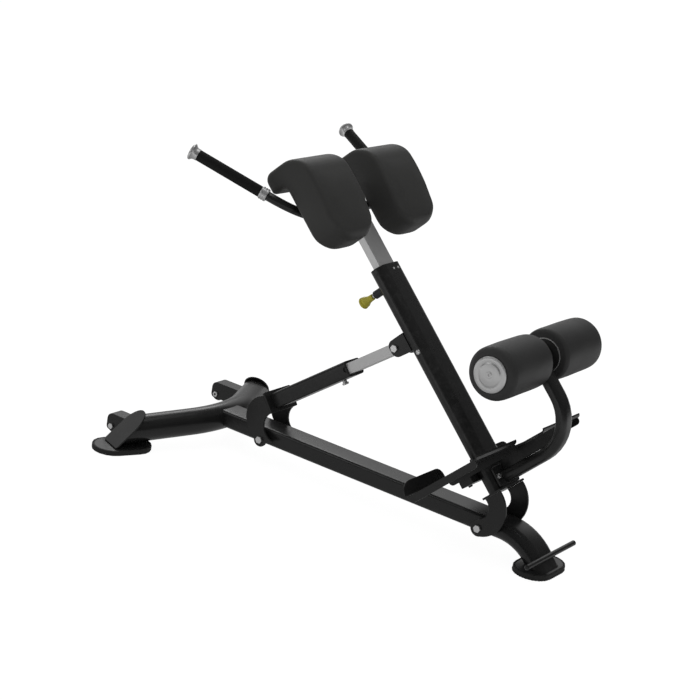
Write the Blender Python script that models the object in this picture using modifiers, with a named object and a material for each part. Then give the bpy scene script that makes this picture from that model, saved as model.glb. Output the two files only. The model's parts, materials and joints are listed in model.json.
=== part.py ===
# Hyperextension bench: leaning post on a floor rail, telescoping brace, thigh pads on a sliding
# inner post, ankle rollers on a bent arm. Metres, +Z up, -X towards the handles, floor at Z = 0.
import bmesh
import bpy
from math import asin, atan2, cos, hypot, pi, radians, sin, sqrt, tan
from mathutils import Matrix, Vector

# Driving dimensions

GAP = 0.0003                     # room left between pieces that touch
SLIDE_GAP = 0.0004               # room on each side of a piece that slides
PIVOT_HEIGHT = 0.070             # both frame pivots above the floor
REAR_PIVOT_X = 0.446
FRONT_PIVOT_X = -0.274
BOLT_RADIUS = 0.006
HEAD_RADIUS = 0.0105
HEAD_HEIGHT = 0.0065

RAIL_WIDTH = 0.080
RAIL_HEIGHT = 0.048
RAIL_CORNER = 0.009
RAIL_BOTTOM = 0.053
RAIL_FRONT_X = -0.408
RAIL_REAR_X = 0.489
PIVOT_TUBE_RADIUS = 0.0135

LEG_RADIUS = 0.038
LEG_PLAN_ANGLE = radians(23.7)   # each leg swept towards the handles
LEG_CORNER_X = -0.424
LEG_CORNER_Z = 0.0755
LEG_BEND_RADIUS = 0.30
LEG_LENGTH = 0.372               # corner to the foot of the end plate, on plan
FOOT_PAD_FROM_END = 0.035        # from there back to the middle of the foot pad
FOOT_PAD_FROM_CORNER = LEG_LENGTH - FOOT_PAD_FROM_END
END_PLATE_LEAN = radians(45)
END_PLATE_LENGTH = 0.130
END_PLATE_WIDTH = 0.077
END_PLATE_CROWN = 0.060           # height of its half-elliptic top
END_PLATE_THICK = 0.004

PAD_LENGTH = 0.172
PAD_WIDTH = 0.107
PAD_HEIGHT = 0.014
PAD_FLOOR = 0.009
PAD_RIM = 0.005
SOLE_THICK = 0.0044

WHEEL_RADIUS = 0.0220
WHEEL_WIDTH = 0.030
WHEEL_X = -0.6425
WHEEL_Z = 0.028
WHEEL_Y = 0.2395
AXLE_RADIUS = 0.004
BRACKET_WIDTH = 0.044
BRACKET_WALL = 0.004
BRACKET_FRONT_X = -0.660
BRACKET_BOTTOM = 0.0155
BRACKET_TOP = 0.0645

REAR_STRAIGHT = 0.006            # of the foot tube before its bend
REAR_BEND_RADIUS = 0.146
REAR_BEND_ANGLE = radians(47)
REAR_PAD_X = 0.611
LIFT_ROD_OFF = 0.0144            # centre of the lift rod off the foot tube's outer face
LIFT_ROD_DOWN = 0.0093           # and down the straight part of the foot
LIFT_ROD_RADIUS = 0.0072
LIFT_ROD_HALF = 0.130

POST_LEAN = radians(45)
POST_FROM_PIVOT = (0.0879, 0.0622)   # foot of the post from the rear pivot: across, along
POST_LENGTH = 0.6625
POST_THICK = 0.050
POST_WIDTH = 0.100
POST_WALL = 0.0025
CRESCENT_ROOM = 0.0055           # between the post's side and the pivot plates
CRESCENT_THICK = 0.006
CRESCENT_OUTER_Y = POST_WIDTH / 2 + CRESCENT_ROOM + CRESCENT_THICK
POST_PLATE_THICK = 0.0054
POST_PLATE_FROM_AXIS = (-0.0335, 0.0345)

GUIDE_DEPTH = 0.040
GUIDE_FLANGE = 0.0026

INNER_POST_THICK = 0.025
INNER_POST_WIDTH = 0.070
INNER_POST_WALL = 0.0025
INNER_POST_BOTTOM = 0.368        # measured along the post from its foot
INNER_POST_TOP = 0.905
HOLE_PITCH = 0.030
HOLE_RADIUS = 0.0055

PIN_FROM_TOP = 0.0475            # below the top of the post
PIN_ALONG = POST_LENGTH - PIN_FROM_TOP
PIN_RADIUS = 0.005
PIN_TIP = -0.0133
BARREL_RADIUS = 0.0115
BARREL_END = -0.069
KNOB_START = -0.0765
KNOB_END = -0.1178
KNOB_RADIUS = 0.0150

UPPER_PIVOT = (-0.0693, 0.4604)  # brace clevis bolt on the post: across, along
CLEVIS_WALL = 0.005
CLEVIS_BASE = 0.004
CLEVIS_ROUND = 0.0160
CLEVIS_BASE_LOW = 0.0315
CLEVIS_BASE_HIGH = 0.0245

BRACE_DROP = 0.0844              # front pivot below the axis of the brace
BRACE_END_TO_PIVOT = 0.075
BRACE_PLATE_THICK = 0.006
BRACE_PLATE_HALF = 0.031
SLEEVE_HEIGHT = 0.045
SLEEVE_WIDTH = 0.076
SLEEVE_WALL = 0.003
SLEEVE_CORNER = 0.010
SLEEVE_START = 0.172             # upper end of the sleeve from the upper pivot
BRACE_INNER_HEIGHT = 0.030
BRACE_INNER_WIDTH = 0.060
BRACE_INNER_LENGTH = 0.320
BRACE_GUIDE_LENGTH = 0.045
BRACE_PLAY = 0.0040              # room round the front pivot bolt, where the linkage is open
LOCK_BOLT_FROM_END = 0.046

FOOT_PLATE_CENTRE = (0.0265, 0.0815)
FOOT_PLATE_TILT = radians(0.6)
FOOT_PLATE_LENGTH = 0.253
FOOT_PLATE_INNER_Y = 0.073
FOOT_PLATE_OUTER_Y = 0.273
FOOT_PLATE_THICK = 0.004
SIDE_FLANGE = 0.016
FLANGE_CORNER = 0.012
FRONT_LIP = 0.042
FRONT_LIP_LEAN = 0.009
REAR_LIP = 0.008
LIP_CORNER = 0.034
BEAM_DEPTH = 0.040
BEAM_HEIGHT = 0.034
CROSSBAR_AT = 0.080               # from the middle of the foot plates
CROSSBAR_WIDTH = 0.040
CROSSBAR_THICK = 0.006

ARM_THICK = 0.033
ARM_WIDTH = 0.052
ARM_BASE_ALONG = 0.0220
ARM_BEND_RADIUS = 0.116
ARM_FLANGE_THICK = 0.006
ARM_FLANGE_HALF = 0.048
ARM_FLANGE_HIGH = 0.0585
GUSSET_THICK = 0.006
ROLLER_AXIS = (0.2798, 0.2455)
HUB_RADIUS = 0.027
HUB_HALF = 0.0325
ROLLER_AXLE_RADIUS = 0.010
ROLLER_RADIUS = 0.071
ROLLER_INNER_Y = 0.0375
ROLLER_OUTER_Y = 0.242
ROLLER_EDGE = 0.0225
CAP_RADIUS = 0.0465
FLANGE_THICK = 0.0025
CAP_DEPTH = 0.006
FOAM_DROP = 0.003                # outer shoulder of the foam below the cap's edge

HANDLE_RADIUS = 0.0125
HANDLE_AXIS = (-0.0175, 0.853)
HANDLE_STRAIGHT_HALF = 0.148
COLLAR_POINT = (-0.0384, 0.280, 0.946)
GRIP_DIRECTION = (-0.397, 0.340, 0.852)
GRIP_RADIUS = 0.015
COLLAR_RADIUS = 0.0175
COLLAR_HALF = 0.010
GRIP_LENGTH = 0.188
GRIP_CAP_RADIUS = 0.0225
GRIP_CAP_LENGTH = 0.024
GRIP_SIDES = 18                  # facets round each grip and its collar
PAD_PLATE_THICK = 0.005
PAD_PLATE_INNER_Y = 0.092
PAD_PLATE_OUTER_Y = 0.205
PAD_PLATE_ALONG = (0.800, 0.912)

THIGH_PAD_INNER_Y = 0.062
THIGH_PAD_OUTER_Y = 0.246
THIGH_PAD_BACK = 0.001
THIGH_PAD_FRONT = 0.091
THIGH_PAD_BOTTOM = 0.727
THIGH_PAD_TOP = 0.9975
THIGH_PAD_TIP = -0.046
THIGH_PAD_HOOK = 0.9365
PAD_EDGE = 0.013                 # rounding of the two side faces
PAD_CORNER = 0.055               # rounding of the lower corners, seen from the front
PAD_STATIONS = (0.0, 0.0015, 0.005, 0.013, 0.026, 0.055)

SIDES = (("left", -1), ("right", 1))


# Collections, materials and the small tools that every piece uses

for old in list(bpy.data.objects):
    bpy.data.objects.remove(old)

bench = bpy.data.collections.new("hyperextension_bench")
cutters = bpy.data.collections.new("cutters")
bpy.context.scene.collection.children.link(bench)
bpy.context.scene.collection.children.link(cutters)


def material(name, colour, roughness, metallic=0.0):
    finish = bpy.data.materials.new(name)
    finish.use_nodes = True
    shader = finish.node_tree.nodes["Principled BSDF"]
    shader.inputs["Base Color"].default_value = (*colour, 1.0)
    shader.inputs["Roughness"].default_value = roughness
    shader.inputs["Metallic"].default_value = metallic
    return finish


FRAME_PAINT = material("frame_paint", (0.022, 0.023, 0.023), 0.38)
SILVER_PAINT = material("silver_paint", (0.50, 0.50, 0.50), 0.35, 0.6)
ZINC = material("zinc", (0.62, 0.62, 0.63), 0.3, 0.9)
ALUMINIUM = material("aluminium", (0.55, 0.55, 0.55), 0.32, 0.9)
RUBBER = material("foot_rubber", (0.012, 0.012, 0.012), 0.7)
GRIP_RUBBER = material("grip_rubber", (0.009, 0.009, 0.010), 0.8)
BLACK_PLASTIC = material("black_plastic", (0.015, 0.015, 0.016), 0.5)
KNOB_PLASTIC = material("knob_plastic", (0.33, 0.28, 0.03), 0.4)
UPHOLSTERY = material("upholstery", (0.034, 0.036, 0.035), 0.6)
ROLLER_FOAM = material("roller_foam", (0.034, 0.036, 0.035), 0.7)


def axes(x, y, z, origin=(0, 0, 0)):
    columns = Matrix((x, y, z)).transposed().to_4x4()
    return Matrix.Translation(origin) @ columns


post_across = Vector((sin(POST_LEAN), 0, cos(POST_LEAN)))
post_along = Vector((-cos(POST_LEAN), 0, sin(POST_LEAN)))
rear_pivot = Vector((REAR_PIVOT_X, 0, PIVOT_HEIGHT))
front_pivot = Vector((FRONT_PIVOT_X, 0, PIVOT_HEIGHT))
post_foot = rear_pivot + post_across * POST_FROM_PIVOT[0] + post_along * POST_FROM_PIVOT[1]


def on_post(across, y, along):
    return post_foot + post_across * across + Vector((0, y, 0)) + post_along * along


upper_pivot = on_post(UPPER_PIVOT[0], 0, UPPER_PIVOT[1])
pivot_span = upper_pivot - front_pivot
brace_angle = atan2(pivot_span.z, pivot_span.x) - asin(BRACE_DROP / pivot_span.length)
brace_up = Vector((cos(brace_angle), 0, sin(brace_angle)))
brace_over = Vector((-sin(brace_angle), 0, cos(brace_angle)))
brace_reach = sqrt(pivot_span.length ** 2 - BRACE_DROP ** 2)
sleeve_end = brace_reach - BRACE_END_TO_PIVOT

# Frames: the first two axes hold a flat outline and the third is the way it is extruded
across_y = Vector((0, 1, 0))
SIDE = axes((1, 0, 0), (0, 0, 1), (0, -1, 0))
RAIL_SECTION = axes((0, 1, 0), (0, 0, 1), (1, 0, 0))
POST_SIDE = axes(post_across, post_along, (0, -1, 0), post_foot)
POST_SECTION = axes(post_across, across_y, post_along, post_foot)
BRACE_SIDE = axes(brace_up, brace_over, (0, -1, 0), upper_pivot)
BRACE_SECTION = axes(across_y, brace_over, brace_up, upper_pivot)
BRACE_PIVOT_SIDE = axes(brace_up, brace_over, (0, -1, 0), front_pivot)
foot_across = post_across * cos(FOOT_PLATE_TILT) - post_along * sin(FOOT_PLATE_TILT)
foot_above = post_across * sin(FOOT_PLATE_TILT) + post_along * cos(FOOT_PLATE_TILT)
FOOT_SIDE = axes(foot_across, foot_above, (0, -1, 0), on_post(FOOT_PLATE_CENTRE[0], 0, FOOT_PLATE_CENTRE[1]))


def hide(tool):
    tool.hide_render = True
    tool.display_type = "WIRE"
    cutters.objects.link(tool)
    return tool


def keep(piece, finish):
    piece.data.materials.clear()
    piece.data.materials.append(finish)
    bench.objects.link(piece)
    return piece


def finish_piece(piece, finish):
    if finish is None:
        return hide(piece)
    return keep(piece, finish)


def smooth(mesh, angle=radians(35)):
    mesh.shade_smooth()
    mesh.set_sharp_from_angle(angle=angle)


def mesh_of(curve_object):
    """A curve object as a closed mesh object in the same place."""
    bpy.context.scene.collection.objects.link(curve_object)
    bpy.context.view_layer.update()
    evaluated = curve_object.evaluated_get(bpy.context.evaluated_depsgraph_get())
    mesh = bpy.data.meshes.new_from_object(evaluated)
    shape = bmesh.new()
    shape.from_mesh(mesh)
    bmesh.ops.remove_doubles(shape, verts=shape.verts, dist=0.00001)
    bmesh.ops.dissolve_degenerate(shape, edges=shape.edges, dist=0.000005)
    bmesh.ops.recalc_face_normals(shape, faces=shape.faces)
    shape.to_mesh(mesh)
    shape.free()
    smooth(mesh)
    name = curve_object.name
    matrix = curve_object.matrix_world.copy()
    curve_object.name = name + "_curve"
    bpy.data.objects.remove(curve_object)
    piece = bpy.data.objects.new(name, mesh)
    piece.matrix_world = matrix
    return piece


def arc(centre, radius, start, end, steps):
    turn = (end - start) / steps
    return [
        (centre[0] + radius * cos(start + turn * step), centre[1] + radius * sin(start + turn * step))
        for step in range(steps + 1)
    ]


def circle(radius, steps=24, centre=(0, 0)):
    return arc(centre, radius, 0, 2 * pi, steps)[:-1]


def rounded(corners, steps=4):
    """A closed outline whose corners (x, y, radius) are turned by arcs."""
    points = []
    count = len(corners)
    for index, (x, y, radius) in enumerate(corners):
        here = Vector((x, y))
        to_last = (Vector(corners[index - 1][:2]) - here).normalized()
        to_next = (Vector(corners[(index + 1) % count][:2]) - here).normalized()
        if radius == 0:
            points.append((x, y))
            continue
        half = to_last.angle(to_next) / 2
        middle = here + (to_last + to_next).normalized() * (radius / sin(half))
        start = here + to_last * (radius / tan(half)) - middle
        turn = pi - 2 * half
        if to_last.x * to_next.y - to_last.y * to_next.x > 0:
            turn = -turn
        angle = atan2(start.y, start.x)
        points += arc(middle, radius, angle, angle + turn, steps)
    return points


def rectangle(width, height, corner=0.0, centre=(0, 0), steps=3):
    x, y = width / 2, height / 2
    signs = ((-1, -1), (1, -1), (1, 1), (-1, 1))
    return rounded([(centre[0] + x * sx, centre[1] + y * sy, corner) for sx, sy in signs], steps)


def flat_oval(thick, wide, steps=10):
    """Thick along the first axis, wide along the second, with full round ends."""
    shift = (wide - thick) / 2
    ends = arc((0, shift), thick / 2, 0, pi, steps)
    return ends + [(-x, -y) for x, y in ends]


def prism(name, outlines, depth, frame, centre=(0, 0, 0), finish=None):
    """One closed outline, with any holes after it, extruded evenly about its own plane."""
    curve = bpy.data.curves.new(name, "CURVE")
    curve.dimensions = "2D"
    curve.fill_mode = "BOTH"
    curve.extrude = depth / 2
    for outline in outlines:
        spline = curve.splines.new("POLY")
        spline.points.add(len(outline) - 1)
        for point, (x, y) in zip(spline.points, outline):
            point.co = (x, y, 0, 1)
        spline.use_cyclic_u = True
    piece = bpy.data.objects.new(name, curve)
    piece.matrix_world = frame @ Matrix.Translation(centre)
    return finish_piece(mesh_of(piece), finish)


def turned(name, profile, frame, finish=None, steps=24, closed=False):
    """A profile of (radius, height), from top to bottom on its outer side, turned about the frame's Z."""
    mesh = bpy.data.meshes.new(name)
    edges = [(index, index + 1) for index in range(len(profile) - 1)]
    if closed:
        edges.append((len(profile) - 1, 0))
    mesh.from_pydata([(radius, 0, height) for radius, height in profile], edges, [])
    piece = bpy.data.objects.new(name, mesh)
    piece.matrix_world = frame
    screw = piece.modifiers.new("turn", "SCREW")
    screw.steps = steps
    screw.render_steps = steps
    screw.use_merge_vertices = True
    screw.merge_threshold = 0.00001
    screw.use_smooth_shade = True
    return finish_piece(piece, finish)


def along_axis(origin, direction, side=(0, 1, 0)):
    """A frame whose Z runs along the direction."""
    z = Vector(direction).normalized()
    x = Vector(side).cross(z)
    if x.length < 0.001:
        x = Vector((1, 0, 0))
    x.normalize()
    return axes(x, z.cross(x), z, origin)


def rod(name, radius, length, origin, direction, finish=None, steps=16):
    """A plain round bar that starts at the origin."""
    profile = [(0, length), (radius, length), (radius, 0), (0, 0)]
    return turned(name, profile, along_axis(origin, direction), finish, steps)


def block(name, low, high, frame, finish=None):
    low, high = Vector(low), Vector(high)
    outline = [(low.x, low.y), (high.x, low.y), (high.x, high.y), (low.x, high.y)]
    return prism(name, [outline], high.z - low.z, frame, (0, 0, (low.z + high.z) / 2), finish)


def bent_tube(name, points, radius, finish=None, resolution=4, section=None):
    """A tube along the points, round or with a section whose second axis stays square to their plane."""
    curve = bpy.data.curves.new(name, "CURVE")
    curve.dimensions = "3D"
    curve.twist_mode = "Z_UP"
    curve.use_fill_caps = True
    if section is None:
        curve.bevel_depth = radius
        curve.bevel_resolution = resolution
    else:
        ring = bpy.data.curves.new(name + "_section", "CURVE")
        ring.dimensions = "2D"
        loop = ring.splines.new("POLY")
        loop.points.add(len(section) - 1)
        for point, (x, y) in zip(loop.points, section):
            point.co = (x, y, 0, 1)
        loop.use_cyclic_u = True
        curve.bevel_mode = "OBJECT"
        curve.bevel_object = hide(bpy.data.objects.new(name + "_section", ring))
    spline = curve.splines.new("POLY")
    spline.points.add(len(points) - 1)
    for point, place in zip(spline.points, points):
        point.co = (*place, 1)
    return bpy.data.objects.new(name, curve)


def bend(before, corner, after, radius, steps):
    """Points of an arc that turns a corner in space."""
    before, corner, after = Vector(before), Vector(corner), Vector(after)
    back = (before - corner).normalized()
    ahead = (after - corner).normalized()
    half = back.angle(ahead) / 2
    middle = corner + (back + ahead).normalized() * (radius / sin(half))
    start = corner + back * (radius / tan(half)) - middle
    side = corner + ahead * (radius / tan(half)) - middle
    turn = pi - 2 * half
    square = (side - start * cos(turn)) / sin(turn)
    return [middle + start * cos(turn * k / steps) + square * sin(turn * k / steps) for k in range(steps + 1)]


def boolean(piece, tool, operation):
    step = piece.modifiers.new(tool.name, "BOOLEAN")
    step.object = tool
    step.operation = operation
    step.solver = "EXACT"


def cut(piece, *tools):
    for tool in tools:
        boolean(piece, tool, "DIFFERENCE")
    return piece


def join(piece, *tools):
    for tool in tools:
        boolean(piece, tool, "UNION")
    return piece


def hexagon(radius):
    return circle(radius, 6)


def bolt(name, half, y_side, origin, radius=BOLT_RADIUS, head=HEAD_RADIUS, height=HEAD_HEIGHT, finish=ZINC):
    """A hexagon bolt across the bench, head on the given side, with its nut welded on as one solid."""
    frame = axes((1, 0, 0), (0, 0, 1), (0, -1, 0), origin)
    piece = rod(name, radius, 2 * half + height, Vector(origin) + Vector((0, half + height / 2, 0)),
                (0, -1, 0), finish)
    for part, side in (("head", y_side), ("nut", -y_side)):
        low = half if side < 0 else -half - height
        tool = prism(f"{name}_{part}", [hexagon(head)], height, frame, (0, 0, low + height / 2))
        join(piece, tool)
    return piece


# Base: rail, front legs, rear foot

def rail():
    section = rectangle(RAIL_WIDTH, RAIL_HEIGHT, RAIL_CORNER, (0, RAIL_BOTTOM + RAIL_HEIGHT / 2))
    length = RAIL_REAR_X - RAIL_FRONT_X
    piece = prism("main_rail", [section], length, RAIL_SECTION,
                  (0, 0, (RAIL_FRONT_X + RAIL_REAR_X) / 2), FRAME_PAINT)
    for name, pivot in (("front", front_pivot), ("rear", rear_pivot)):
        half = CRESCENT_OUTER_Y - CRESCENT_THICK - GAP
        start = pivot + Vector((0, -half, 0))
        join(piece, rod(f"{name}_pivot_tube", PIVOT_TUBE_RADIUS, 2 * half, start, (0, 1, 0), steps=20))
        bore_start = pivot + Vector((0, -half - 0.01, 0))
        cut(piece, rod(f"{name}_pivot_bore", BOLT_RADIUS + GAP, 2 * half + 0.02, bore_start, (0, 1, 0)))
    leg = leg_tube_solid("rail_front_cope", GAP)
    cut(piece, leg)
    return piece


def leg_direction(sign):
    return Vector((-sin(LEG_PLAN_ANGLE), sign * cos(LEG_PLAN_ANGLE), 0))


leg_end_z = PAD_FLOOR + SOLE_THICK + GAP + LEG_RADIUS
leg_slope = (LEG_CORNER_Z - leg_end_z) / LEG_LENGTH


def leg_axis(sign, distance):
    drop = Vector((0, 0, leg_slope * distance))
    return Vector((LEG_CORNER_X, 0, LEG_CORNER_Z)) + leg_direction(sign) * distance - drop


def leg_tube_solid(name, extra=0.0):
    """The whole bent leg tube, run on past its two end plates."""
    beyond = LEG_LENGTH + 0.06
    ends = [leg_axis(sign, beyond) for side, sign in SIDES]
    corner = Vector((LEG_CORNER_X, 0, LEG_CORNER_Z))
    path = [ends[0]] + bend(ends[0], corner, ends[1], LEG_BEND_RADIUS, 12) + [ends[1]]
    tube = bent_tube(name, path, LEG_RADIUS + extra, resolution=5)
    return hide(mesh_of(tube)) if extra else mesh_of(tube)


def end_plate_frame(sign):
    """X across the plate, Y up along its slope, Z outwards, from the middle of its lower edge."""
    outward = leg_direction(sign)
    normal = outward * cos(END_PLATE_LEAN) + Vector((0, 0, sin(END_PLATE_LEAN)))
    up = Vector((0, 0, cos(END_PLATE_LEAN))) - outward * sin(END_PLATE_LEAN)
    foot = Vector((LEG_CORNER_X, 0, 0)) + outward * LEG_LENGTH
    foot.z = PAD_FLOOR + SOLE_THICK + GAP
    return axes(up.cross(normal), up, normal, foot)


def front_legs():
    tube = keep(leg_tube_solid("front_leg_tube"), FRAME_PAINT)
    for side, sign in SIDES:
        frame = end_plate_frame(sign)
        cut(tube, block(f"leg_end_cut_{side}", (-0.1, -0.1, -GAP), (0.1, 0.2, 0.2), frame))
        half = END_PLATE_WIDTH / 2
        crown = END_PLATE_LENGTH - END_PLATE_CROWN
        outline = [(half * x, crown + END_PLATE_CROWN * y) for x, y in arc((0, 0), 1, 0, pi, 16)]
        outline += rounded([(-half, 0, 0.004), (half, 0, 0.004), (half, crown, 0), (-half, crown, 0)])[:-2]
        prism(f"leg_end_plate_{side}", [outline], END_PLATE_THICK, frame,
              (0, 0, END_PLATE_THICK / 2), FRAME_PAINT)
        wheel_set(side, sign)


def oval(length, width, steps=9):
    return flat_oval(width, length, steps)


def foot_pad(name, sole_name, centre, direction):
    """A rubber oval with a raised rim that holds a steel sole plate."""
    long_axis = Vector(direction)
    frame = axes(long_axis.cross(Vector((0, 0, 1))), long_axis, (0, 0, 1), centre)
    pad = prism(name, [oval(PAD_LENGTH, PAD_WIDTH)], PAD_HEIGHT, frame, (0, 0, PAD_HEIGHT / 2), RUBBER)
    inside = oval(PAD_LENGTH - 2 * PAD_RIM, PAD_WIDTH - 2 * PAD_RIM)
    cut(pad, prism(name + "_recess", [inside], PAD_HEIGHT, frame, (0, 0, PAD_FLOOR + PAD_HEIGHT / 2)))
    sole = oval(PAD_LENGTH - 2 * PAD_RIM - 2 * GAP, PAD_WIDTH - 2 * PAD_RIM - 2 * GAP)
    prism(sole_name, [sole], SOLE_THICK, frame, (0, 0, PAD_FLOOR + GAP + SOLE_THICK / 2 - GAP / 2), FRAME_PAINT)


def wheel_set(side, sign):
    """Channel bracket, wheel and axle at the front of one leg end."""
    y = sign * WHEEL_Y
    back_x = leg_axis(sign, WHEEL_Y / cos(LEG_PLAN_ANGLE)).x
    outline = rounded([(BRACKET_FRONT_X, BRACKET_BOTTOM, 0.011), (back_x, BRACKET_BOTTOM, 0),
                       (back_x, BRACKET_TOP, 0), (BRACKET_FRONT_X, BRACKET_TOP, 0.017)])
    bracket = prism(f"wheel_bracket_{side}", [outline], BRACKET_WIDTH, SIDE, (0, 0, -y), FRAME_PAINT)
    inner = BRACKET_WIDTH / 2 - BRACKET_WALL
    cut(bracket, block(f"wheel_room_{side}", (BRACKET_FRONT_X - 0.1, -0.1, -inner),
                       (back_x + 0.1, BRACKET_TOP - BRACKET_WALL, inner),
                       SIDE @ Matrix.Translation((0, 0, -y))))
    path = [leg_axis(sign, 0.16), leg_axis(sign, LEG_LENGTH)]
    envelope = rod(f"bracket_cope_{side}", LEG_RADIUS + GAP, (path[1] - path[0]).length, path[0],
                   path[1] - path[0], steps=32)
    cut(bracket, envelope)
    axle = Vector((WHEEL_X, y, WHEEL_Z))
    hole_start = axle + Vector((0, -BRACKET_WIDTH, 0))
    cut(bracket, rod(f"axle_hole_{side}", AXLE_RADIUS + GAP, 2 * BRACKET_WIDTH, hole_start, (0, 1, 0), steps=12))
    half = WHEEL_WIDTH / 2
    bore = AXLE_RADIUS + 2 * GAP
    profile = [(bore, half), (WHEEL_RADIUS * 0.62, half), (WHEEL_RADIUS * 0.68, half - 0.002),
               (WHEEL_RADIUS * 0.82, half - 0.002), (WHEEL_RADIUS - 0.003, half - 0.001),
               (WHEEL_RADIUS, half - 0.004)]
    profile += [(radius, -height) for radius, height in reversed(profile)]
    turned(f"transport_wheel_{side}", profile, along_axis(axle, (0, 1, 0)), BLACK_PLASTIC, 20, closed=True)
    bolt(f"wheel_axle_{side}", BRACKET_WIDTH / 2 + GAP, sign, axle, AXLE_RADIUS, 0.0085, 0.005)


def rear_foot():
    """A flat oval tube that carries the rail down on to the rear foot pad."""
    start_z = RAIL_BOTTOM + RAIL_HEIGHT / 2
    start = Vector((RAIL_REAR_X + GAP, start_z))
    turn_centre = (start.x + REAR_STRAIGHT, start.y - REAR_BEND_RADIUS)
    path = [tuple(start)] + arc(turn_centre, REAR_BEND_RADIUS, pi / 2, pi / 2 - REAR_BEND_ANGLE, 9)
    slope = Vector((cos(REAR_BEND_ANGLE), -sin(REAR_BEND_ANGLE)))
    path.append(tuple(Vector(path[-1]) + slope * 0.06))
    tube = bent_tube("rear_foot_tube", [(x, z, 0) for x, z in path], 0, section=flat_oval(POST_THICK, POST_WIDTH, 8))
    tube.matrix_world = SIDE
    tube = keep(mesh_of(tube), FRAME_PAINT)
    floor = PAD_FLOOR + SOLE_THICK + GAP
    cut(tube, block("rear_foot_cut", (0, -0.3, -0.2), (1.0, floor, 0.2), SIDE))
    foot_pad("rear_foot_pad", "rear_sole_plate", (REAR_PAD_X, 0, 0), (0, 1, 0))
    radius = LIFT_ROD_RADIUS
    half = LIFT_ROD_HALF
    bead = radius * 0.4
    profile = [(0, half), (radius - bead, half), (radius, half - bead), (radius, -half + bead),
               (radius - bead, -half), (0, -half)]
    out = Vector((sin(REAR_BEND_ANGLE), 0, cos(REAR_BEND_ANGLE)))
    down = Vector((slope.x, 0, slope.y))
    face = Vector((path[-2][0], 0, path[-2][1])) + out * (POST_THICK / 2)
    centre = face + out * LIFT_ROD_OFF + down * LIFT_ROD_DOWN
    bar = keep(baked(turned("lift_rod", profile, along_axis(centre, (0, 1, 0)), None, 14)), FRAME_PAINT)
    frame = axes(out, Vector((0, -1, 0)).cross(out), (0, -1, 0), centre)
    join(bar, block("lift_rod_lug", (GAP - LIFT_ROD_OFF, -0.003, -0.022), (0, 0.003, 0.022), frame))


def baked(tool):
    """A turned or cut shape as a plain mesh that can be joined to others."""
    bpy.context.view_layer.update()
    evaluated = tool.evaluated_get(bpy.context.evaluated_depsgraph_get())
    mesh = bpy.data.meshes.new_from_object(evaluated)
    name = tool.name
    matrix = tool.matrix_world.copy()
    tool.name = name + "_plan"
    bpy.data.objects.remove(tool)
    piece = bpy.data.objects.new(name, mesh)
    piece.matrix_world = matrix
    return piece


# Post: outer tube, pivot plates, guide, clevis and pull pin

def crescent(name, outer, outer_radius, inner, inner_radius, tab, hole, plate_line, frame, y, side_cut=None):
    """A pivot plate: a thick ring cut open at its end plate, with a round tab about the pivot bolt."""
    plate = prism(name, [circle(outer_radius, 44, outer)], CRESCENT_THICK, frame, (0, 0, -y), FRAME_PAINT)
    deep = CRESCENT_THICK * 3
    cut(plate, prism(name + "_inner", [circle(inner_radius, 28, inner)], deep, frame, (0, 0, -y)))
    far = 3 * outer_radius
    if plate_line[0] == "across":
        low, high = (plate_line[1], -far), (far, far)
    else:
        low, high = (-far, plate_line[1]), (far, far)
    cut(plate, block(name + "_end", (*low, -y - deep), (*high, -y + deep), frame))
    if side_cut is not None:
        direction = Vector(inner).normalized()
        square = Vector((-direction.y, direction.x)) * side_cut
        reach = [(0, 0), square * far, square * far + direction * far, direction * far]
        back = -direction * far
        reach = [tuple(Vector(reach[0]) + back), tuple(square * far + back), tuple(reach[2]), tuple(reach[3])]
        cut(plate, prism(name + "_side", [reach], deep, frame, (0, 0, -y)))
    join(plate, prism(name + "_tab", [circle(tab, 24)], CRESCENT_THICK, frame, (0, 0, -y)))
    cut(plate, prism(name + "_hole", [circle(hole, 18)], deep, frame, (0, 0, -y)))
    return plate


def post():
    section = [flat_oval(POST_THICK, POST_WIDTH), flat_oval(POST_THICK - 2 * POST_WALL, POST_WIDTH - 2 * POST_WALL)]
    tube = prism("main_post", section, POST_LENGTH, POST_SECTION, (0, 0, POST_LENGTH / 2), FRAME_PAINT)
    pin_hole = rod("post_pin_hole", PIN_RADIUS + 0.0004, POST_THICK / 2, on_post(0, 0, PIN_ALONG),
                   -post_across, steps=12)
    cut(tube, pin_hole)
    low, high = POST_PLATE_FROM_AXIS
    plate_top = -GAP
    plate = rectangle(high - low, 2 * CRESCENT_OUTER_Y, 0.004, ((low + high) / 2, 0), 2)
    prism("post_end_plate", [plate], POST_PLATE_THICK, POST_SECTION,
          (0, 0, plate_top - POST_PLATE_THICK / 2), FRAME_PAINT)
    frame = axes(post_across, post_along, (0, -1, 0), rear_pivot)
    line = POST_FROM_PIVOT[1] - POST_PLATE_THICK - 2 * GAP
    for side, sign in SIDES:
        y = sign * (CRESCENT_OUTER_Y - CRESCENT_THICK / 2)
        crescent(f"post_pivot_plate_{side}", (0.0352, 0.0476), 0.081, (0.0310, 0.0490), 0.0335, 0.0225,
                 BOLT_RADIUS + GAP, ("along", line), frame, y, side_cut=1)
    bolt("post_pivot_bolt", CRESCENT_OUTER_Y + GAP, -1, rear_pivot)


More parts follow.
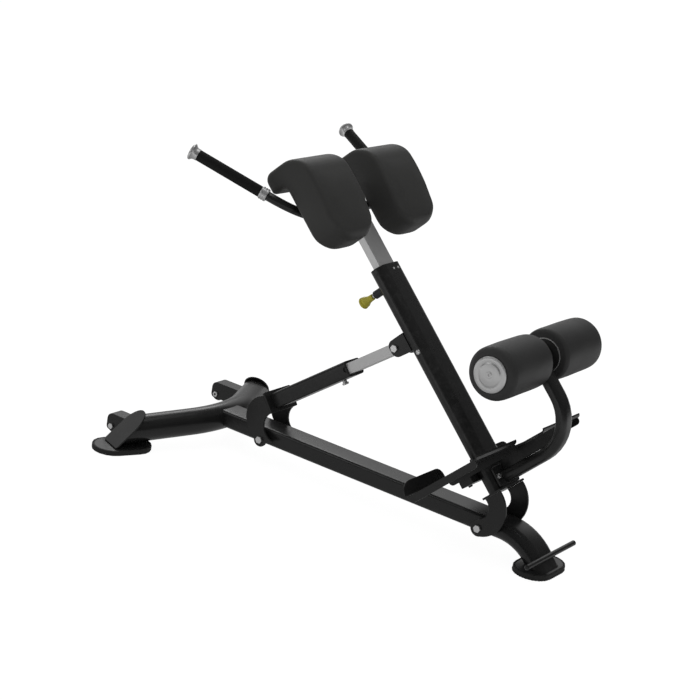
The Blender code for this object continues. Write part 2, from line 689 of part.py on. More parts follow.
def post_guide():
    hole = rectangle(INNER_POST_THICK + 2 * SLIDE_GAP, INNER_POST_WIDTH + 2 * SLIDE_GAP, 0.0035)
    inside = flat_oval(POST_THICK - 2 * POST_WALL - 2 * GAP, POST_WIDTH - 2 * POST_WALL - 2 * GAP)
    guide = prism("post_guide", [inside, hole], GUIDE_DEPTH, POST_SECTION,
                  (0, 0, POST_LENGTH - GUIDE_DEPTH / 2 + 0.001), BLACK_PLASTIC)
    flange = flat_oval(POST_THICK, POST_WIDTH)
    cap = prism("post_guide_flange", [flange, hole], GUIDE_FLANGE, POST_SECTION,
                (0, 0, POST_LENGTH + GAP + GUIDE_FLANGE / 2))
    join(guide, cap)
    pin_room = rod("guide_pin_room", PIN_RADIUS + 0.0006, POST_THICK, on_post(0, 0, PIN_ALONG),
                   -post_across, steps=12)
    cut(guide, pin_room)


def clevis():
    across, along = UPPER_PIVOT
    face = -POST_THICK / 2 - GAP
    half_width = BRACE_INNER_WIDTH / 2 + 0.0008
    end = across - CLEVIS_ROUND
    outline = rounded([(face, along - CLEVIS_BASE_LOW, 0.003), (face, along + CLEVIS_BASE_HIGH, 0.003),
                       (end, along + CLEVIS_ROUND, CLEVIS_ROUND * 0.97),
                       (end, along - CLEVIS_ROUND - 0.003, CLEVIS_ROUND)], 6)
    width = 2 * (half_width + CLEVIS_WALL)
    bracket = prism("clevis_bracket", [outline], width, POST_SIDE, finish=FRAME_PAINT)
    cut(bracket, block("clevis_slot", (end - 0.1, along - 0.1, -half_width),
                       (face - CLEVIS_BASE, along + 0.1, half_width), POST_SIDE))
    start = on_post(across, -width, along)
    cut(bracket, rod("clevis_hole", BOLT_RADIUS + GAP, 2 * width, start, (0, 1, 0)))
    bolt("upper_brace_bolt", width / 2 + GAP, -1, upper_pivot)


def pull_pin():
    """Barrel on the lower face of the post, spring plunger inside it, and the knob that is pulled."""
    frame = along_axis(on_post(0, 0, PIN_ALONG), post_across)
    bore = PIN_RADIUS + 0.0004
    face = -POST_THICK / 2 - GAP
    collar = 0.006
    barrel = [(bore, face), (BARREL_RADIUS + 0.003, face), (BARREL_RADIUS + 0.003, face - collar),
              (BARREL_RADIUS, face - collar - 0.002), (BARREL_RADIUS, BARREL_END + 0.0015),
              (BARREL_RADIUS - 0.0015, BARREL_END), (bore, BARREL_END)]
    turned("pin_housing", barrel, frame, BLACK_PLASTIC, 18, closed=True)
    shaft = [(0, PIN_TIP), (PIN_RADIUS - 0.001, PIN_TIP), (PIN_RADIUS, PIN_TIP - 0.001),
             (PIN_RADIUS, KNOB_START + GAP), (0.004, KNOB_START), (0.004, KNOB_START - 0.018), (0, KNOB_START - 0.018)]
    turned("pull_pin", shaft, frame, ZINC, 20)
    top, length = KNOB_START, KNOB_START - KNOB_END
    knob = [(0.0043, top), (0.0085, top), (0.0095, top - 0.1 * length), (0.0098, top - 0.35 * length),
            (0.0125, top - 0.52 * length), (0.0165, top - 0.66 * length), (KNOB_RADIUS, top - 0.76 * length),
            (KNOB_RADIUS, top - 0.88 * length), (0.0155, top - 0.97 * length), (0.012, KNOB_END),
            (0, KNOB_END), (0, KNOB_START - 0.0185), (0.0043, KNOB_START - 0.0185)]
    turned("pull_knob", knob, frame, KNOB_PLASTIC, 20, closed=True)


# Foot plates and roller arm

def foot_plates():
    """Two tread trays with an upturned front, a low rear lip and side flanges, on a beam and a crossbar."""
    half = FOOT_PLATE_LENGTH / 2
    thick = FOOT_PLATE_THICK
    bend_out = 0.010
    bend_in = bend_out - thick
    low, high = -thick / 2, thick / 2
    lean = FRONT_LIP_LEAN
    profile = rounded([(-half, low, bend_out), (half, low, bend_out), (half, REAR_LIP, 0),
                       (half - thick, REAR_LIP, 0), (half - thick, high, bend_in),
                       (-half + thick, high, bend_in), (-half + thick + lean, FRONT_LIP, 0),
                       (-half + lean, FRONT_LIP, 0)])
    flange = rounded([(-half + 0.004, low - SIDE_FLANGE, FLANGE_CORNER), (half - 0.004, low - SIDE_FLANGE, FLANGE_CORNER),
                      (half - 0.011, 0, 0), (-half + 0.011, 0, 0)])
    width = FOOT_PLATE_OUTER_Y - FOOT_PLATE_INNER_Y
    front_view = axes((0, 1, 0), foot_above, foot_across, FOOT_SIDE.translation)
    for side, sign in SIDES:
        y = sign * (FOOT_PLATE_INNER_Y + FOOT_PLATE_OUTER_Y) / 2
        plate = prism(f"foot_plate_{side}", [profile], width, FOOT_SIDE, (0, 0, -y), FRAME_PAINT)
        for edge, way in (("inner", -1), ("outer", 1)):
            at = y + sign * way * (width - thick) / 2
            join(plate, prism(f"foot_flange_{edge}_{side}", [flange], thick, FOOT_SIDE, (0, 0, -at)))
        outline = rounded([(-width / 2, -0.02, 0), (width / 2, -0.02, 0), (width / 2, FRONT_LIP, LIP_CORNER),
                           (-width / 2, FRONT_LIP, LIP_CORNER)], 5)
        tool = prism(f"foot_plate_corners_{side}", [outline], 0.08, front_view, (y, 0, -half))
        keep_front = block(f"foot_plate_front_{side}", (-half - 0.02, high + bend_in, -y - width),
                           (-half + 0.03, FRONT_LIP + 0.02, -y + width), FOOT_SIDE)
        cut(keep_front, tool)
        cut(plate, keep_front)
    top = low - GAP
    face = -POST_THICK / 2 - GAP
    centre = FOOT_PLATE_CENTRE[0]
    front = face - centre - BEAM_DEPTH
    beam_half = FOOT_PLATE_INNER_Y - GAP
    beam = block("foot_plate_beam", (front, top - BEAM_HEIGHT, -beam_half),
                 (front + BEAM_DEPTH + 0.01, top, beam_half), FOOT_SIDE, FRAME_PAINT)
    cut(beam, block("beam_post_cut", (face, -0.1, -0.2), (0.2, 0.4, 0.2), POST_SIDE))
    bar_at = CROSSBAR_AT
    block("foot_plate_crossbar", (bar_at - CROSSBAR_WIDTH / 2, top - CROSSBAR_THICK, -beam_half),
          (bar_at + CROSSBAR_WIDTH / 2, top, beam_half), FOOT_SIDE, FRAME_PAINT)


def roller_arm():
    """A flat oval tube bolted to the post by a flange, bent up to carry the roller hub."""
    face = POST_THICK / 2 + GAP
    across, along = ROLLER_AXIS
    start = (face + ARM_FLANGE_THICK / 2, ARM_BASE_ALONG, 0)
    corner = (across, ARM_BASE_ALONG, 0)
    end = (across, along, 0)
    path = [start] + bend(start, corner, end, ARM_BEND_RADIUS, 10) + [end]
    arm = bent_tube("roller_arm", path, 0, section=flat_oval(ARM_THICK, ARM_WIDTH, 7))
    arm.matrix_world = POST_SIDE
    arm = keep(mesh_of(arm), FRAME_PAINT)
    hub_start = on_post(across, -HUB_HALF, along)
    join(arm, rod("roller_hub", HUB_RADIUS, 2 * HUB_HALF, hub_start, (0, 1, 0), steps=28))
    height = ARM_FLANGE_HIGH - GAP
    outline = rectangle(2 * ARM_FLANGE_HALF, height, 0.006)
    flange_view = axes((0, 1, 0), post_along, post_across, on_post(0, 0, GAP + height / 2))
    join(arm, prism("arm_flange", [outline], ARM_FLANGE_THICK, flange_view, (0, 0, face + ARM_FLANGE_THICK / 2)))
    bore_start = on_post(across, -HUB_HALF * 2, along)
    cut(arm, rod("hub_bore", ROLLER_AXLE_RADIUS + GAP, 4 * HUB_HALF, bore_start, (0, 1, 0), steps=20))
    gusset(face + ARM_FLANGE_THICK + GAP)


def gusset(start):
    """Web plate between the post flange and the inside of the arm's bend."""
    bend_centre = (ROLLER_AXIS[0] - ARM_BEND_RADIUS, ARM_BASE_ALONG + ARM_BEND_RADIUS)
    radius = (ARM_BEND_RADIUS - ARM_THICK / 2) * cos(pi / 40) - GAP
    low = ARM_BASE_ALONG + ARM_THICK / 2 + GAP
    clear = FOOT_PLATE_THICK / 2 + CROSSBAR_THICK + 3 * GAP

    def under_plate(across):
        return FOOT_PLATE_CENTRE[1] - clear - (across - FOOT_PLATE_CENTRE[0]) * tan(FOOT_PLATE_TILT)

    top = under_plate(bend_centre[0] + radius)
    rise = asin((bend_centre[1] - top) / radius)
    curve = arc(bend_centre, radius, -pi / 2, -rise, 8)
    notch = [(start + 0.052, low), (start + 0.047, low + 0.007), (start + 0.009, low + 0.007), (start + 0.004, low)]
    outline = [(start, low), (start, under_plate(start))] + list(reversed(curve)) + notch
    prism("arm_gusset", [outline], GUSSET_THICK, POST_SIDE, finish=FRAME_PAINT)


def rollers():
    across, along = ROLLER_AXIS
    axis = on_post(across, 0, along)
    axle_half = ROLLER_OUTER_Y + 0.0005
    profile = [(0, axle_half), (ROLLER_AXLE_RADIUS, axle_half), (ROLLER_AXLE_RADIUS, -axle_half), (0, -axle_half)]
    turned("roller_axle", profile, along_axis(axis, (0, 1, 0)), ZINC, 20)
    length = ROLLER_OUTER_Y - ROLLER_INNER_Y
    bore = ROLLER_AXLE_RADIUS + 2 * GAP
    for side, sign in SIDES:
        frame = along_axis(axis + Vector((0, sign * ROLLER_INNER_Y, 0)), (0, sign, 0))
        crown = ROLLER_RADIUS - 0.0012
        edge = ROLLER_EDGE
        top = [(bore, length - 0.004), (CAP_RADIUS - 0.004, length - 0.004), (CAP_RADIUS + 0.001, length - FOAM_DROP)]
        top += [(crown - edge + radius, length - FOAM_DROP - edge + height)
                for radius, height in reversed(arc((0, 0), edge, 0, pi / 2, 5))]
        middle = [(ROLLER_RADIUS, length * 0.75), (ROLLER_RADIUS, length * 0.25)]
        bottom = [(crown - edge + radius, edge + height) for radius, height in arc((0, 0), edge, 0, -pi / 2, 5)]
        turned(f"roller_{side}", top + middle + bottom + [(bore, 0)], frame, ROLLER_FOAM, 26, closed=True)
        inner = [(bore, -GAP), (CAP_RADIUS - 0.001, -GAP), (CAP_RADIUS, -GAP - 0.001),
                 (CAP_RADIUS - 0.001, -FLANGE_THICK - GAP), (bore, -FLANGE_THICK - GAP)]
        turned(f"roller_flange_{side}", inner, frame, ALUMINIUM, 26, closed=True)
        base = length - 0.004 + GAP
        cap = [(0, length + CAP_DEPTH - 0.0028), (0.0175, length + CAP_DEPTH - 0.0028),
               (0.0205, length + CAP_DEPTH - 0.0012), (0.030, length + CAP_DEPTH - 0.0006),
               (0.036, length + CAP_DEPTH), (CAP_RADIUS - 0.006, length + CAP_DEPTH - 0.0008),
               (CAP_RADIUS - 0.0015, length + CAP_DEPTH - 0.003), (CAP_RADIUS, length + 0.0008),
               (CAP_RADIUS - 0.0045, base), (bore, base), (bore, length + 0.0012), (0, length + 0.0012)]
        turned(f"roller_cap_{side}", cap, frame, ALUMINIUM, 26)


# Telescoping brace

def brace():
    half_height = BRACE_INNER_HEIGHT / 2
    round_end = [(x, y) for x, y in arc((0, 0), half_height, pi / 2, -pi / 2, 8)]
    outline = [(-BRACE_INNER_LENGTH, -half_height), *reversed(round_end), (-BRACE_INNER_LENGTH, half_height)]
    inner = prism("brace_inner", [outline], BRACE_INNER_WIDTH, BRACE_SIDE, finish=SILVER_PAINT)
    start = upper_pivot + Vector((0, -0.1, 0))
    cut(inner, rod("inner_pivot_hole", BOLT_RADIUS + GAP, 0.2, start, (0, 1, 0)))

    section = rectangle(SLEEVE_WIDTH, SLEEVE_HEIGHT, SLEEVE_CORNER)
    hollow = rectangle(SLEEVE_WIDTH - 2 * SLEEVE_WALL, SLEEVE_HEIGHT - 2 * SLEEVE_WALL, SLEEVE_CORNER - SLEEVE_WALL)
    length = sleeve_end - SLEEVE_START
    sleeve = prism("brace_sleeve", [section, hollow], length, BRACE_SECTION,
                   (0, 0, -(SLEEVE_START + sleeve_end) / 2), FRAME_PAINT)
    notch = [(-SLEEVE_START - 0.010, -0.008), (-SLEEVE_START + 0.02, -0.008), (-SLEEVE_START + 0.02, 0.008),
             (-SLEEVE_START - 0.010, 0.008)]
    notch = rounded([(x, y, 0.0075 if x < -SLEEVE_START else 0) for x, y in notch], 5)
    cut(sleeve, prism("sleeve_notch", [notch], 0.2, BRACE_SIDE))

    slide = rectangle(BRACE_INNER_WIDTH + 2 * SLIDE_GAP, BRACE_INNER_HEIGHT + 2 * SLIDE_GAP, 0)
    fill = rectangle(SLEEVE_WIDTH - 2 * SLEEVE_WALL - 2 * GAP, SLEEVE_HEIGHT - 2 * SLEEVE_WALL - 2 * GAP,
                     SLEEVE_CORNER - SLEEVE_WALL)
    prism("brace_guide", [fill, slide], BRACE_GUIDE_LENGTH, BRACE_SECTION,
          (0, 0, -SLEEVE_START - BRACE_GUIDE_LENGTH / 2 - 0.0005), BLACK_PLASTIC)

    plate = rectangle(2 * CRESCENT_OUTER_Y, 2 * BRACE_PLATE_HALF, 0.004, steps=2)
    prism("brace_end_plate", [plate], BRACE_PLATE_THICK, BRACE_SECTION,
          (0, 0, -sleeve_end - GAP - BRACE_PLATE_THICK / 2), FRAME_PAINT)
    line = BRACE_END_TO_PIVOT - BRACE_PLATE_THICK - 2 * GAP
    for side, sign in SIDES:
        y = sign * (CRESCENT_OUTER_Y - CRESCENT_THICK / 2)
        crescent(f"brace_pivot_plate_{side}", (0.0456, 0.0450), 0.067, (0.0690, 0.0107), 0.044, 0.0205,
                 BOLT_RADIUS + BRACE_PLAY, ("across", line), BRACE_PIVOT_SIDE, y)
    bolt("brace_pivot_bolt", CRESCENT_OUTER_Y + GAP, -1, front_pivot)
    lock_bolt()


def lock_bolt():
    """Clamp bolt under the sleeve: it presses on the inner bar through a threaded boss."""
    base = upper_pivot - brace_up * (SLEEVE_START + LOCK_BOLT_FROM_END)
    frame = along_axis(base, -brace_over)
    surface = SLEEVE_HEIGHT / 2
    profile = [(0, surface + 0.013), (0.008, surface + 0.013), (0.0095, surface + 0.0115),
               (0.0095, surface + 0.007), (0.0065, surface + 0.007), (0.0065, surface + GAP), (0, surface + GAP)]
    turned("brace_lock_bolt", profile, frame, ZINC, 12)


# Carriage: inner post, handle bar with pad plates, grips and pads

def inner_post():
    section = rectangle(INNER_POST_THICK, INNER_POST_WIDTH, 0.003)
    hollow = rectangle(INNER_POST_THICK - 2 * INNER_POST_WALL, INNER_POST_WIDTH - 2 * INNER_POST_WALL, 0.001)
    length = INNER_POST_TOP - INNER_POST_BOTTOM
    tube = prism("inner_post", [section, hollow], length, POST_SECTION,
                 (0, 0, (INNER_POST_TOP + INNER_POST_BOTTOM) / 2), SILVER_PAINT)
    join(tube, prism("inner_post_cap", [section], 0.003, POST_SECTION, (0, 0, INNER_POST_TOP - 0.0014)))
    for index in range(-3, 5):
        start = on_post(0, 0, PIN_ALONG + HOLE_PITCH * index)
        cut(tube, rod(f"height_hole_{index + 4}", HOLE_RADIUS, INNER_POST_THICK, start, -post_across, steps=12))
    across, along = HANDLE_AXIS
    saddle = rod("handle_saddle", HANDLE_RADIUS + GAP, 0.2, on_post(across, -0.1, along), (0, 1, 0), steps=24)
    cut(tube, saddle)


def handle_bar():
    """One bent tube behind the pads, with a flat plate welded on for each pad."""
    across, along = HANDLE_AXIS
    out = Vector(GRIP_DIRECTION).normalized()
    collar = Vector(COLLAR_POINT)
    turn_start = Vector((across, HANDLE_STRAIGHT_HALF, along))
    turn_end = collar - out * 0.014
    reach = (turn_end - turn_start).length * 0.28
    first = turn_start + Vector((0, reach, 0))
    second = turn_end - out * reach
    curve = []
    steps = 9
    for step in range(steps + 1):
        t = step / steps
        s = 1 - t
        point = turn_start * s ** 3 + first * 3 * s * s * t + second * 3 * s * t * t + turn_end * t ** 3
        curve.append(point)
    tip = collar + out * (COLLAR_HALF + GRIP_LENGTH)
    half = curve + [tip]
    path = [Vector((p.x, -p.y, p.z)) for p in reversed(half)] + half
    world = [on_post(p.x, p.y, p.z) for p in path]
    bar = keep(mesh_of(bent_tube("handle_bar", world, HANDLE_RADIUS, resolution=3)), FRAME_PAINT)
    low, high = PAD_PLATE_ALONG
    back = across + HANDLE_RADIUS - 0.0006
    width = PAD_PLATE_OUTER_Y - PAD_PLATE_INNER_Y
    view = axes((0, 1, 0), post_along, post_across, on_post(0, 0, 0))
    for side, sign in SIDES:
        y = sign * (PAD_PLATE_INNER_Y + PAD_PLATE_OUTER_Y) / 2
        outline = rectangle(width, high - low, 0.012, (y, (low + high) / 2))
        join(bar, prism(f"pad_plate_{side}", [outline], PAD_PLATE_THICK, view, (0, 0, back + PAD_PLATE_THICK / 2)))
        grip(side, sign, collar, out)


def grip(side, sign, collar, out):
    start = on_post(collar.x, sign * collar.y, collar.z)
    direction = post_across * out.x + Vector((0, sign * out.y, 0)) + post_along * out.z
    frame = along_axis(start, direction)
    bore = (HANDLE_RADIUS + GAP) / cos(pi / GRIP_SIDES)
    ring = [(bore, COLLAR_HALF), (COLLAR_RADIUS - 0.001, COLLAR_HALF)]
    for rib in range(3):
        top = COLLAR_HALF - 0.0015 - rib * 0.0062
        ring += [(COLLAR_RADIUS, top), (COLLAR_RADIUS, top - 0.0035), (COLLAR_RADIUS - 0.0012, top - 0.0042),
                 (COLLAR_RADIUS - 0.0012, top - 0.0055)]
    ring += [(COLLAR_RADIUS - 0.002, -COLLAR_HALF), (bore, -COLLAR_HALF)]
    turned(f"grip_collar_{side}", ring, frame, ALUMINIUM, GRIP_SIDES, closed=True)
    low, high = COLLAR_HALF + GAP, COLLAR_HALF + GRIP_LENGTH
    sleeve = [(bore, high), (GRIP_RADIUS - 0.001, high), (GRIP_RADIUS, high - 0.001), (GRIP_RADIUS, low + 0.001),
              (GRIP_RADIUS - 0.001, low), (bore, low)]
    turned(f"grip_{side}", sleeve, frame, GRIP_RUBBER, GRIP_SIDES, closed=True)
    base = high + GAP
    top = base + GRIP_CAP_LENGTH
    cap = [(0, top), (GRIP_CAP_RADIUS - 0.004, top), (GRIP_CAP_RADIUS - 0.001, top - 0.0015),
           (GRIP_CAP_RADIUS, top - 0.004), (GRIP_CAP_RADIUS, top - 0.0075), (GRIP_CAP_RADIUS - 0.003, top - 0.0105),
           (GRIP_CAP_RADIUS - 0.0055, top - 0.014), (GRIP_RADIUS + 0.0012, base + 0.004), (GRIP_RADIUS + 0.0008, base),
           (0, base)]
    turned(f"grip_cap_{side}", cap, frame, ALUMINIUM, 20)


def thigh_pad(side, sign):
    """A crowned cushion, hooked towards the handles at its top, on a coarse cage that is subdivided."""
    outline = rounded([(THIGH_PAD_FRONT, THIGH_PAD_BOTTOM, 0.043), (THIGH_PAD_FRONT, THIGH_PAD_TOP - 0.002, 0.056),
                       (THIGH_PAD_TIP, THIGH_PAD_TOP, 0.024), (THIGH_PAD_TIP, THIGH_PAD_HOOK, 0.012),
                       (THIGH_PAD_BACK, THIGH_PAD_HOOK, 0.018), (THIGH_PAD_BACK, THIGH_PAD_BOTTOM, 0.043)], 3)
    middle = (THIGH_PAD_INNER_Y + THIGH_PAD_OUTER_Y) / 2
    half = (THIGH_PAD_OUTER_Y - THIGH_PAD_INNER_Y) / 2
    shape = bmesh.new()
    loops = []
    for from_end, reverse in [(e, -1) for e in PAD_STATIONS] + [(e, 1) for e in reversed(PAD_STATIONS)]:
        inset = round_off(from_end, PAD_EDGE)
        ring = []
        for x, y in inset_outline(outline, inset):
            low = min(max((THIGH_PAD_BOTTOM + 0.11 - y) / 0.11, 0), 1)
            rise = round_off(from_end, PAD_CORNER) * low
            ring.append(shape.verts.new((x, y + rise, reverse * (half - from_end))))
        loops.append(ring)
    count = len(outline)
    for first, second in zip(loops, loops[1:]):
        for index in range(count):
            after = (index + 1) % count
            shape.faces.new((first[index], first[after], second[after], second[index]))
    shape.faces.new(loops[0][::-1])
    shape.faces.new(loops[-1])
    bmesh.ops.recalc_face_normals(shape, faces=shape.faces)
    mesh = bpy.data.meshes.new(f"thigh_pad_{side}")
    shape.to_mesh(mesh)
    shape.free()
    mesh.shade_smooth()
    pad = bpy.data.objects.new(f"thigh_pad_{side}", mesh)
    pad.matrix_world = POST_SIDE @ Matrix.Translation((0, 0, -sign * middle))
    keep(pad, UPHOLSTERY)
    skin = pad.modifiers.new("soft_form", "SUBSURF")
    skin.levels = 1
    skin.render_levels = 1


def round_off(from_end, radius):
    """How far a round edge has drawn in at this distance from the end face."""
    share = max(1 - from_end / radius, 0)
    return radius * (1 - sqrt(1 - share * share))


def inset_outline(outline, distance):
    """Each point moved inwards along the mean normal of its two edges."""
    moved = []
    count = len(outline)
    for index, point in enumerate(outline):
        here = Vector(point)
        into = (here - Vector(outline[index - 1])).normalized()
        out = (Vector(outline[(index + 1) % count]) - here).normalized()
        way = into + out
        normal = Vector((-way.y, way.x)).normalized()
        moved.append(tuple(here + normal * distance))
    return moved


# Building, and the empties that stand on the joint axes

def joint_empty(name, place, members):
    empty = bpy.data.objects.new(name, None)
    empty.empty_display_size = 0.05
    empty.location = place
    bpy.context.scene.collection.objects.link(empty)
    bpy.context.view_layer.update()
    for member in members:
        piece = bpy.data.objects[member]
        place_now = piece.matrix_world.copy()
        piece.parent = empty
        piece.matrix_parent_inverse = empty.matrix_world.inverted()
        piece.matrix_world = place_now
    return empty


rail()
front_legs()
for side, sign in SIDES:
    foot_centre = leg_axis(sign, FOOT_PAD_FROM_CORNER)
    foot_pad(f"front_foot_pad_{side}", f"front_sole_plate_{side}", (foot_centre.x, foot_centre.y, 0),
             leg_direction(sign))
rear_foot()
post()
post_guide()
clevis()
pull_pin()
foot_plates()
roller_arm()
rollers()
brace()
inner_post()
handle_bar()
for side, sign in SIDES:
    thigh_pad(side, sign)

both = [side for side, sign in SIDES]
joint_empty("post_tilt_axis", rear_pivot, [
    "main_post", "post_end_plate", "post_guide", "clevis_bracket", "upper_brace_bolt", "pin_housing",
    "foot_plate_beam", "foot_plate_crossbar", "roller_arm", "arm_gusset", "roller_axle",
    *(f"{piece}_{side}" for piece in ("post_pivot_plate", "foot_plate") for side in both)])
joint_empty("pin_slide_axis", on_post(0, 0, PIN_ALONG), ["pull_pin", "pull_knob"])
joint_empty("brace_swing_axis", upper_pivot, ["brace_inner"])
joint_empty("sleeve_slide_axis", upper_pivot - brace_up * SLEEVE_START, [
    "brace_sleeve", "brace_guide", "brace_end_plate", "brace_lock_bolt",
    *(f"brace_pivot_plate_{side}" for side in both)])
joint_empty("carriage_slide_axis", on_post(0, 0, POST_LENGTH), [
    "inner_post", "handle_bar",
    *(f"{piece}_{side}" for piece in ("thigh_pad", "grip", "grip_collar", "grip_cap") for side in both)])
for side, sign in SIDES:
    joint_empty(f"roller_spin_axis_{side}", on_post(ROLLER_AXIS[0], sign * ROLLER_INNER_Y, ROLLER_AXIS[1]),
                [f"roller_{side}", f"roller_flange_{side}", f"roller_cap_{side}"])
    joint_empty(f"wheel_spin_axis_{side}", (WHEEL_X, sign * WHEEL_Y, WHEEL_Z), [f"transport_wheel_{side}"])
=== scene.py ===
# %% [markdown]
# A leaning gym bench, dressed for a photograph
#
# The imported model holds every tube, plate, bolt and pad at its real size and place. This lesson loads it,
# gives each piece its finish, and swaps the plain pads and rollers for softer forms. The load call comes
# first, because every later piece is placed by what it brings in.

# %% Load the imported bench
import json
from math import acos, asin, atan2, ceil, cos, pi, radians, sin, sqrt, tan

import bmesh
import bpy
import numpy as np
from mathutils import Matrix, Vector

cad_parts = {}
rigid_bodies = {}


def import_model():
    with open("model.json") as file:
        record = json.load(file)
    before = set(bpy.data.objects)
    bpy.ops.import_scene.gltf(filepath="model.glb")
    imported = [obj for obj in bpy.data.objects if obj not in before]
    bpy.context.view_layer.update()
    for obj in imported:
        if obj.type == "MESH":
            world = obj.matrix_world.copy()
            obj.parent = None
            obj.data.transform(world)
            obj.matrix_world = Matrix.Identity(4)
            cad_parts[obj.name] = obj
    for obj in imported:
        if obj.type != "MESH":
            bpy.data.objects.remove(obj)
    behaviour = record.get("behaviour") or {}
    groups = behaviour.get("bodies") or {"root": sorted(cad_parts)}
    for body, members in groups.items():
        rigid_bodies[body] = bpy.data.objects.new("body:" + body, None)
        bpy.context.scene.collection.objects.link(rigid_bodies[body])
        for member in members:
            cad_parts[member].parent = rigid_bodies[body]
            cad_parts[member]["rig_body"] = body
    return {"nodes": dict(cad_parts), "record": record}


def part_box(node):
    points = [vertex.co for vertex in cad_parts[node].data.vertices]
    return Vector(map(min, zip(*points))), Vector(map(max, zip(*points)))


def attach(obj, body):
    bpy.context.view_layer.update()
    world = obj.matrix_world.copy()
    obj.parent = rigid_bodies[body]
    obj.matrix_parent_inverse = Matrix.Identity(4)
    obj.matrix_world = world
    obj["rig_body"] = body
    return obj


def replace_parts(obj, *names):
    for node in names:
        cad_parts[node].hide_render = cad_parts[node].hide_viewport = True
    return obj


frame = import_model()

scene = bpy.context.scene
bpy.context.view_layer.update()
SIDES = (("left", -1), ("right", 1))

# %% [markdown]
# The camera
#
# A product photograph is taken from some metres away with a long lens, so the tubes stay nearly parallel.
# The place and the directions below were worked out from the edges of the bench itself. The photo is
# square, so the focal length in millimetres follows from its width on a 36 mm sensor.

# %% Place the camera
CAMERA_PLACE = Vector((2.6191, -4.3832, 2.0410))
CAMERA_RIGHT = Vector((0.8137, 0.5590, 0.1594))
CAMERA_UP = Vector((-0.3002, 0.1693, 0.9388))
FOCAL_LENGTH = 102.2
SENSOR_WIDTH = 36.0

camera_data = bpy.data.cameras.new("photo_camera")
camera_data.lens = FOCAL_LENGTH
camera_data.sensor_width = SENSOR_WIDTH
camera_data.sensor_fit = "HORIZONTAL"
camera = bpy.data.objects.new("photo_camera", camera_data)
scene.collection.objects.link(camera)
right = CAMERA_RIGHT.normalized()
back = right.cross(CAMERA_UP).normalized()
up = back.cross(right)
turn = Matrix((right, up, back)).transposed().to_4x4()
camera.matrix_world = Matrix.Translation(CAMERA_PLACE) @ turn
scene.camera = camera
print("camera looks along", [round(value, 3) for value in -back])

# %% [markdown]
# Small helpers for shader trees
#
# Every material below is a tree of nodes. A new node is given its inputs as values, or as the outputs of
# nodes made before it, so a material reads from its first node to its last.

# %% Node helpers
def add_node(tree, kind, inputs=None, **settings):
    """A new node. Each input is a value, or an output of another node, which is then joined to it."""
    node = tree.nodes.new(kind)
    for name, value in settings.items():
        setattr(node, name, value)
    for socket, value in (inputs or {}).items():
        if isinstance(value, bpy.types.NodeSocket):
            tree.links.new(value, node.inputs[socket])
        else:
            node.inputs[socket].default_value = value
    return node


def join(tree, start, end):
    tree.links.new(start, end)


def mapped(tree, value, low, high, to_low=0.0, to_high=1.0, kind="LINEAR"):
    """The value stretched, so that low gives to_low and high gives to_high."""
    inputs = {"Value": value, "From Min": low, "From Max": high, "To Min": to_low, "To Max": to_high}
    return add_node(tree, "ShaderNodeMapRange", inputs, interpolation_type=kind).outputs["Result"]


def product(tree, first, second):
    return add_node(tree, "ShaderNodeMath", {0: first, 1: second}, operation="MULTIPLY").outputs[0]


def by_ray(tree, plain, bounced, to_camera):
    """One shader for camera rays, one for rays off metal or through glass, and one for all others."""
    seen = add_node(tree, "ShaderNodeLightPath")
    either = {0: seen.outputs["Is Glossy Ray"], 1: seen.outputs["Is Transmission Ray"]}
    shiny = add_node(tree, "ShaderNodeMath", either, operation="MAXIMUM")
    unseen = add_node(tree, "ShaderNodeMixShader", {"Fac": shiny.outputs[0], 1: plain, 2: bounced})
    inputs = {"Fac": seen.outputs["Is Camera Ray"], 1: unseen.outputs[0], 2: to_camera}
    return add_node(tree, "ShaderNodeMixShader", inputs).outputs[0]


def shade_of(level):
    """A grey or a colour written in 0 to 255, as a picture shows it, turned into the light it stands for."""
    levels = level if isinstance(level, tuple) else (level, level, level)
    light = [((v / 255 + 0.055) / 1.055) ** 2.4 if v > 10 else v / 255 / 12.92 for v in levels]
    return (*light, 1.0)


# %% [markdown]
# The studio
#
# The bench stands in front of plain white. A camera ray that misses it sees white, and so does a ray that
# bounces off metal towards the back left of the studio. The rest of the room is dark, so the reflected
# white fades out to the right and behind the camera. Black tubes only look round when they have something
# dark and something light to reflect. All other rays see an even, pale room, which lights the bench.

# %% The world
WHITE = (1.0, 1.0, 1.0, 1.0)
ROOM_LOW = 0.62
ROOM_HIGH = 0.70
DARK_SIDE = 0.12
LOW_SHARE = 0.4
WHITE_SIDE = (-0.75, 0.66, 0.0)
ROOM_FADE = (-0.2, 1.0)
SIDE_FADE = (0.42, 0.76)
HEIGHT_FADE = (0.24, 0.46)


def background(tree, strength):
    return add_node(tree, "ShaderNodeBackground", {"Color": WHITE, "Strength": strength}).outputs[0]


studio = bpy.data.worlds.new("white_studio")
studio.use_nodes = True
scene.world = studio
tree = studio.node_tree
tree.nodes.clear()
direction = add_node(tree, "ShaderNodeTexCoord").outputs["Generated"]
height = add_node(tree, "ShaderNodeSeparateXYZ", {0: direction}).outputs["Z"]
room_tone = mapped(tree, height, *ROOM_FADE, ROOM_LOW, ROOM_HIGH)
towards_white = add_node(tree, "ShaderNodeVectorMath", {0: direction, 1: WHITE_SIDE},
                         operation="DOT_PRODUCT").outputs["Value"]
white_share = mapped(tree, towards_white, *SIDE_FADE, DARK_SIDE, 1.0, "SMOOTHSTEP")
low_share = mapped(tree, height, *HEIGHT_FADE, LOW_SHARE, 1.0, "SMOOTHSTEP")
levels = (room_tone, product(tree, white_share, low_share), 1.0)
room_light, reflected, white_back = [background(tree, level) for level in levels]
surface = by_ray(tree, room_light, reflected, white_back)
add_node(tree, "ShaderNodeOutputWorld", {"Surface": surface})
print("world made of", len(tree.nodes), "nodes")

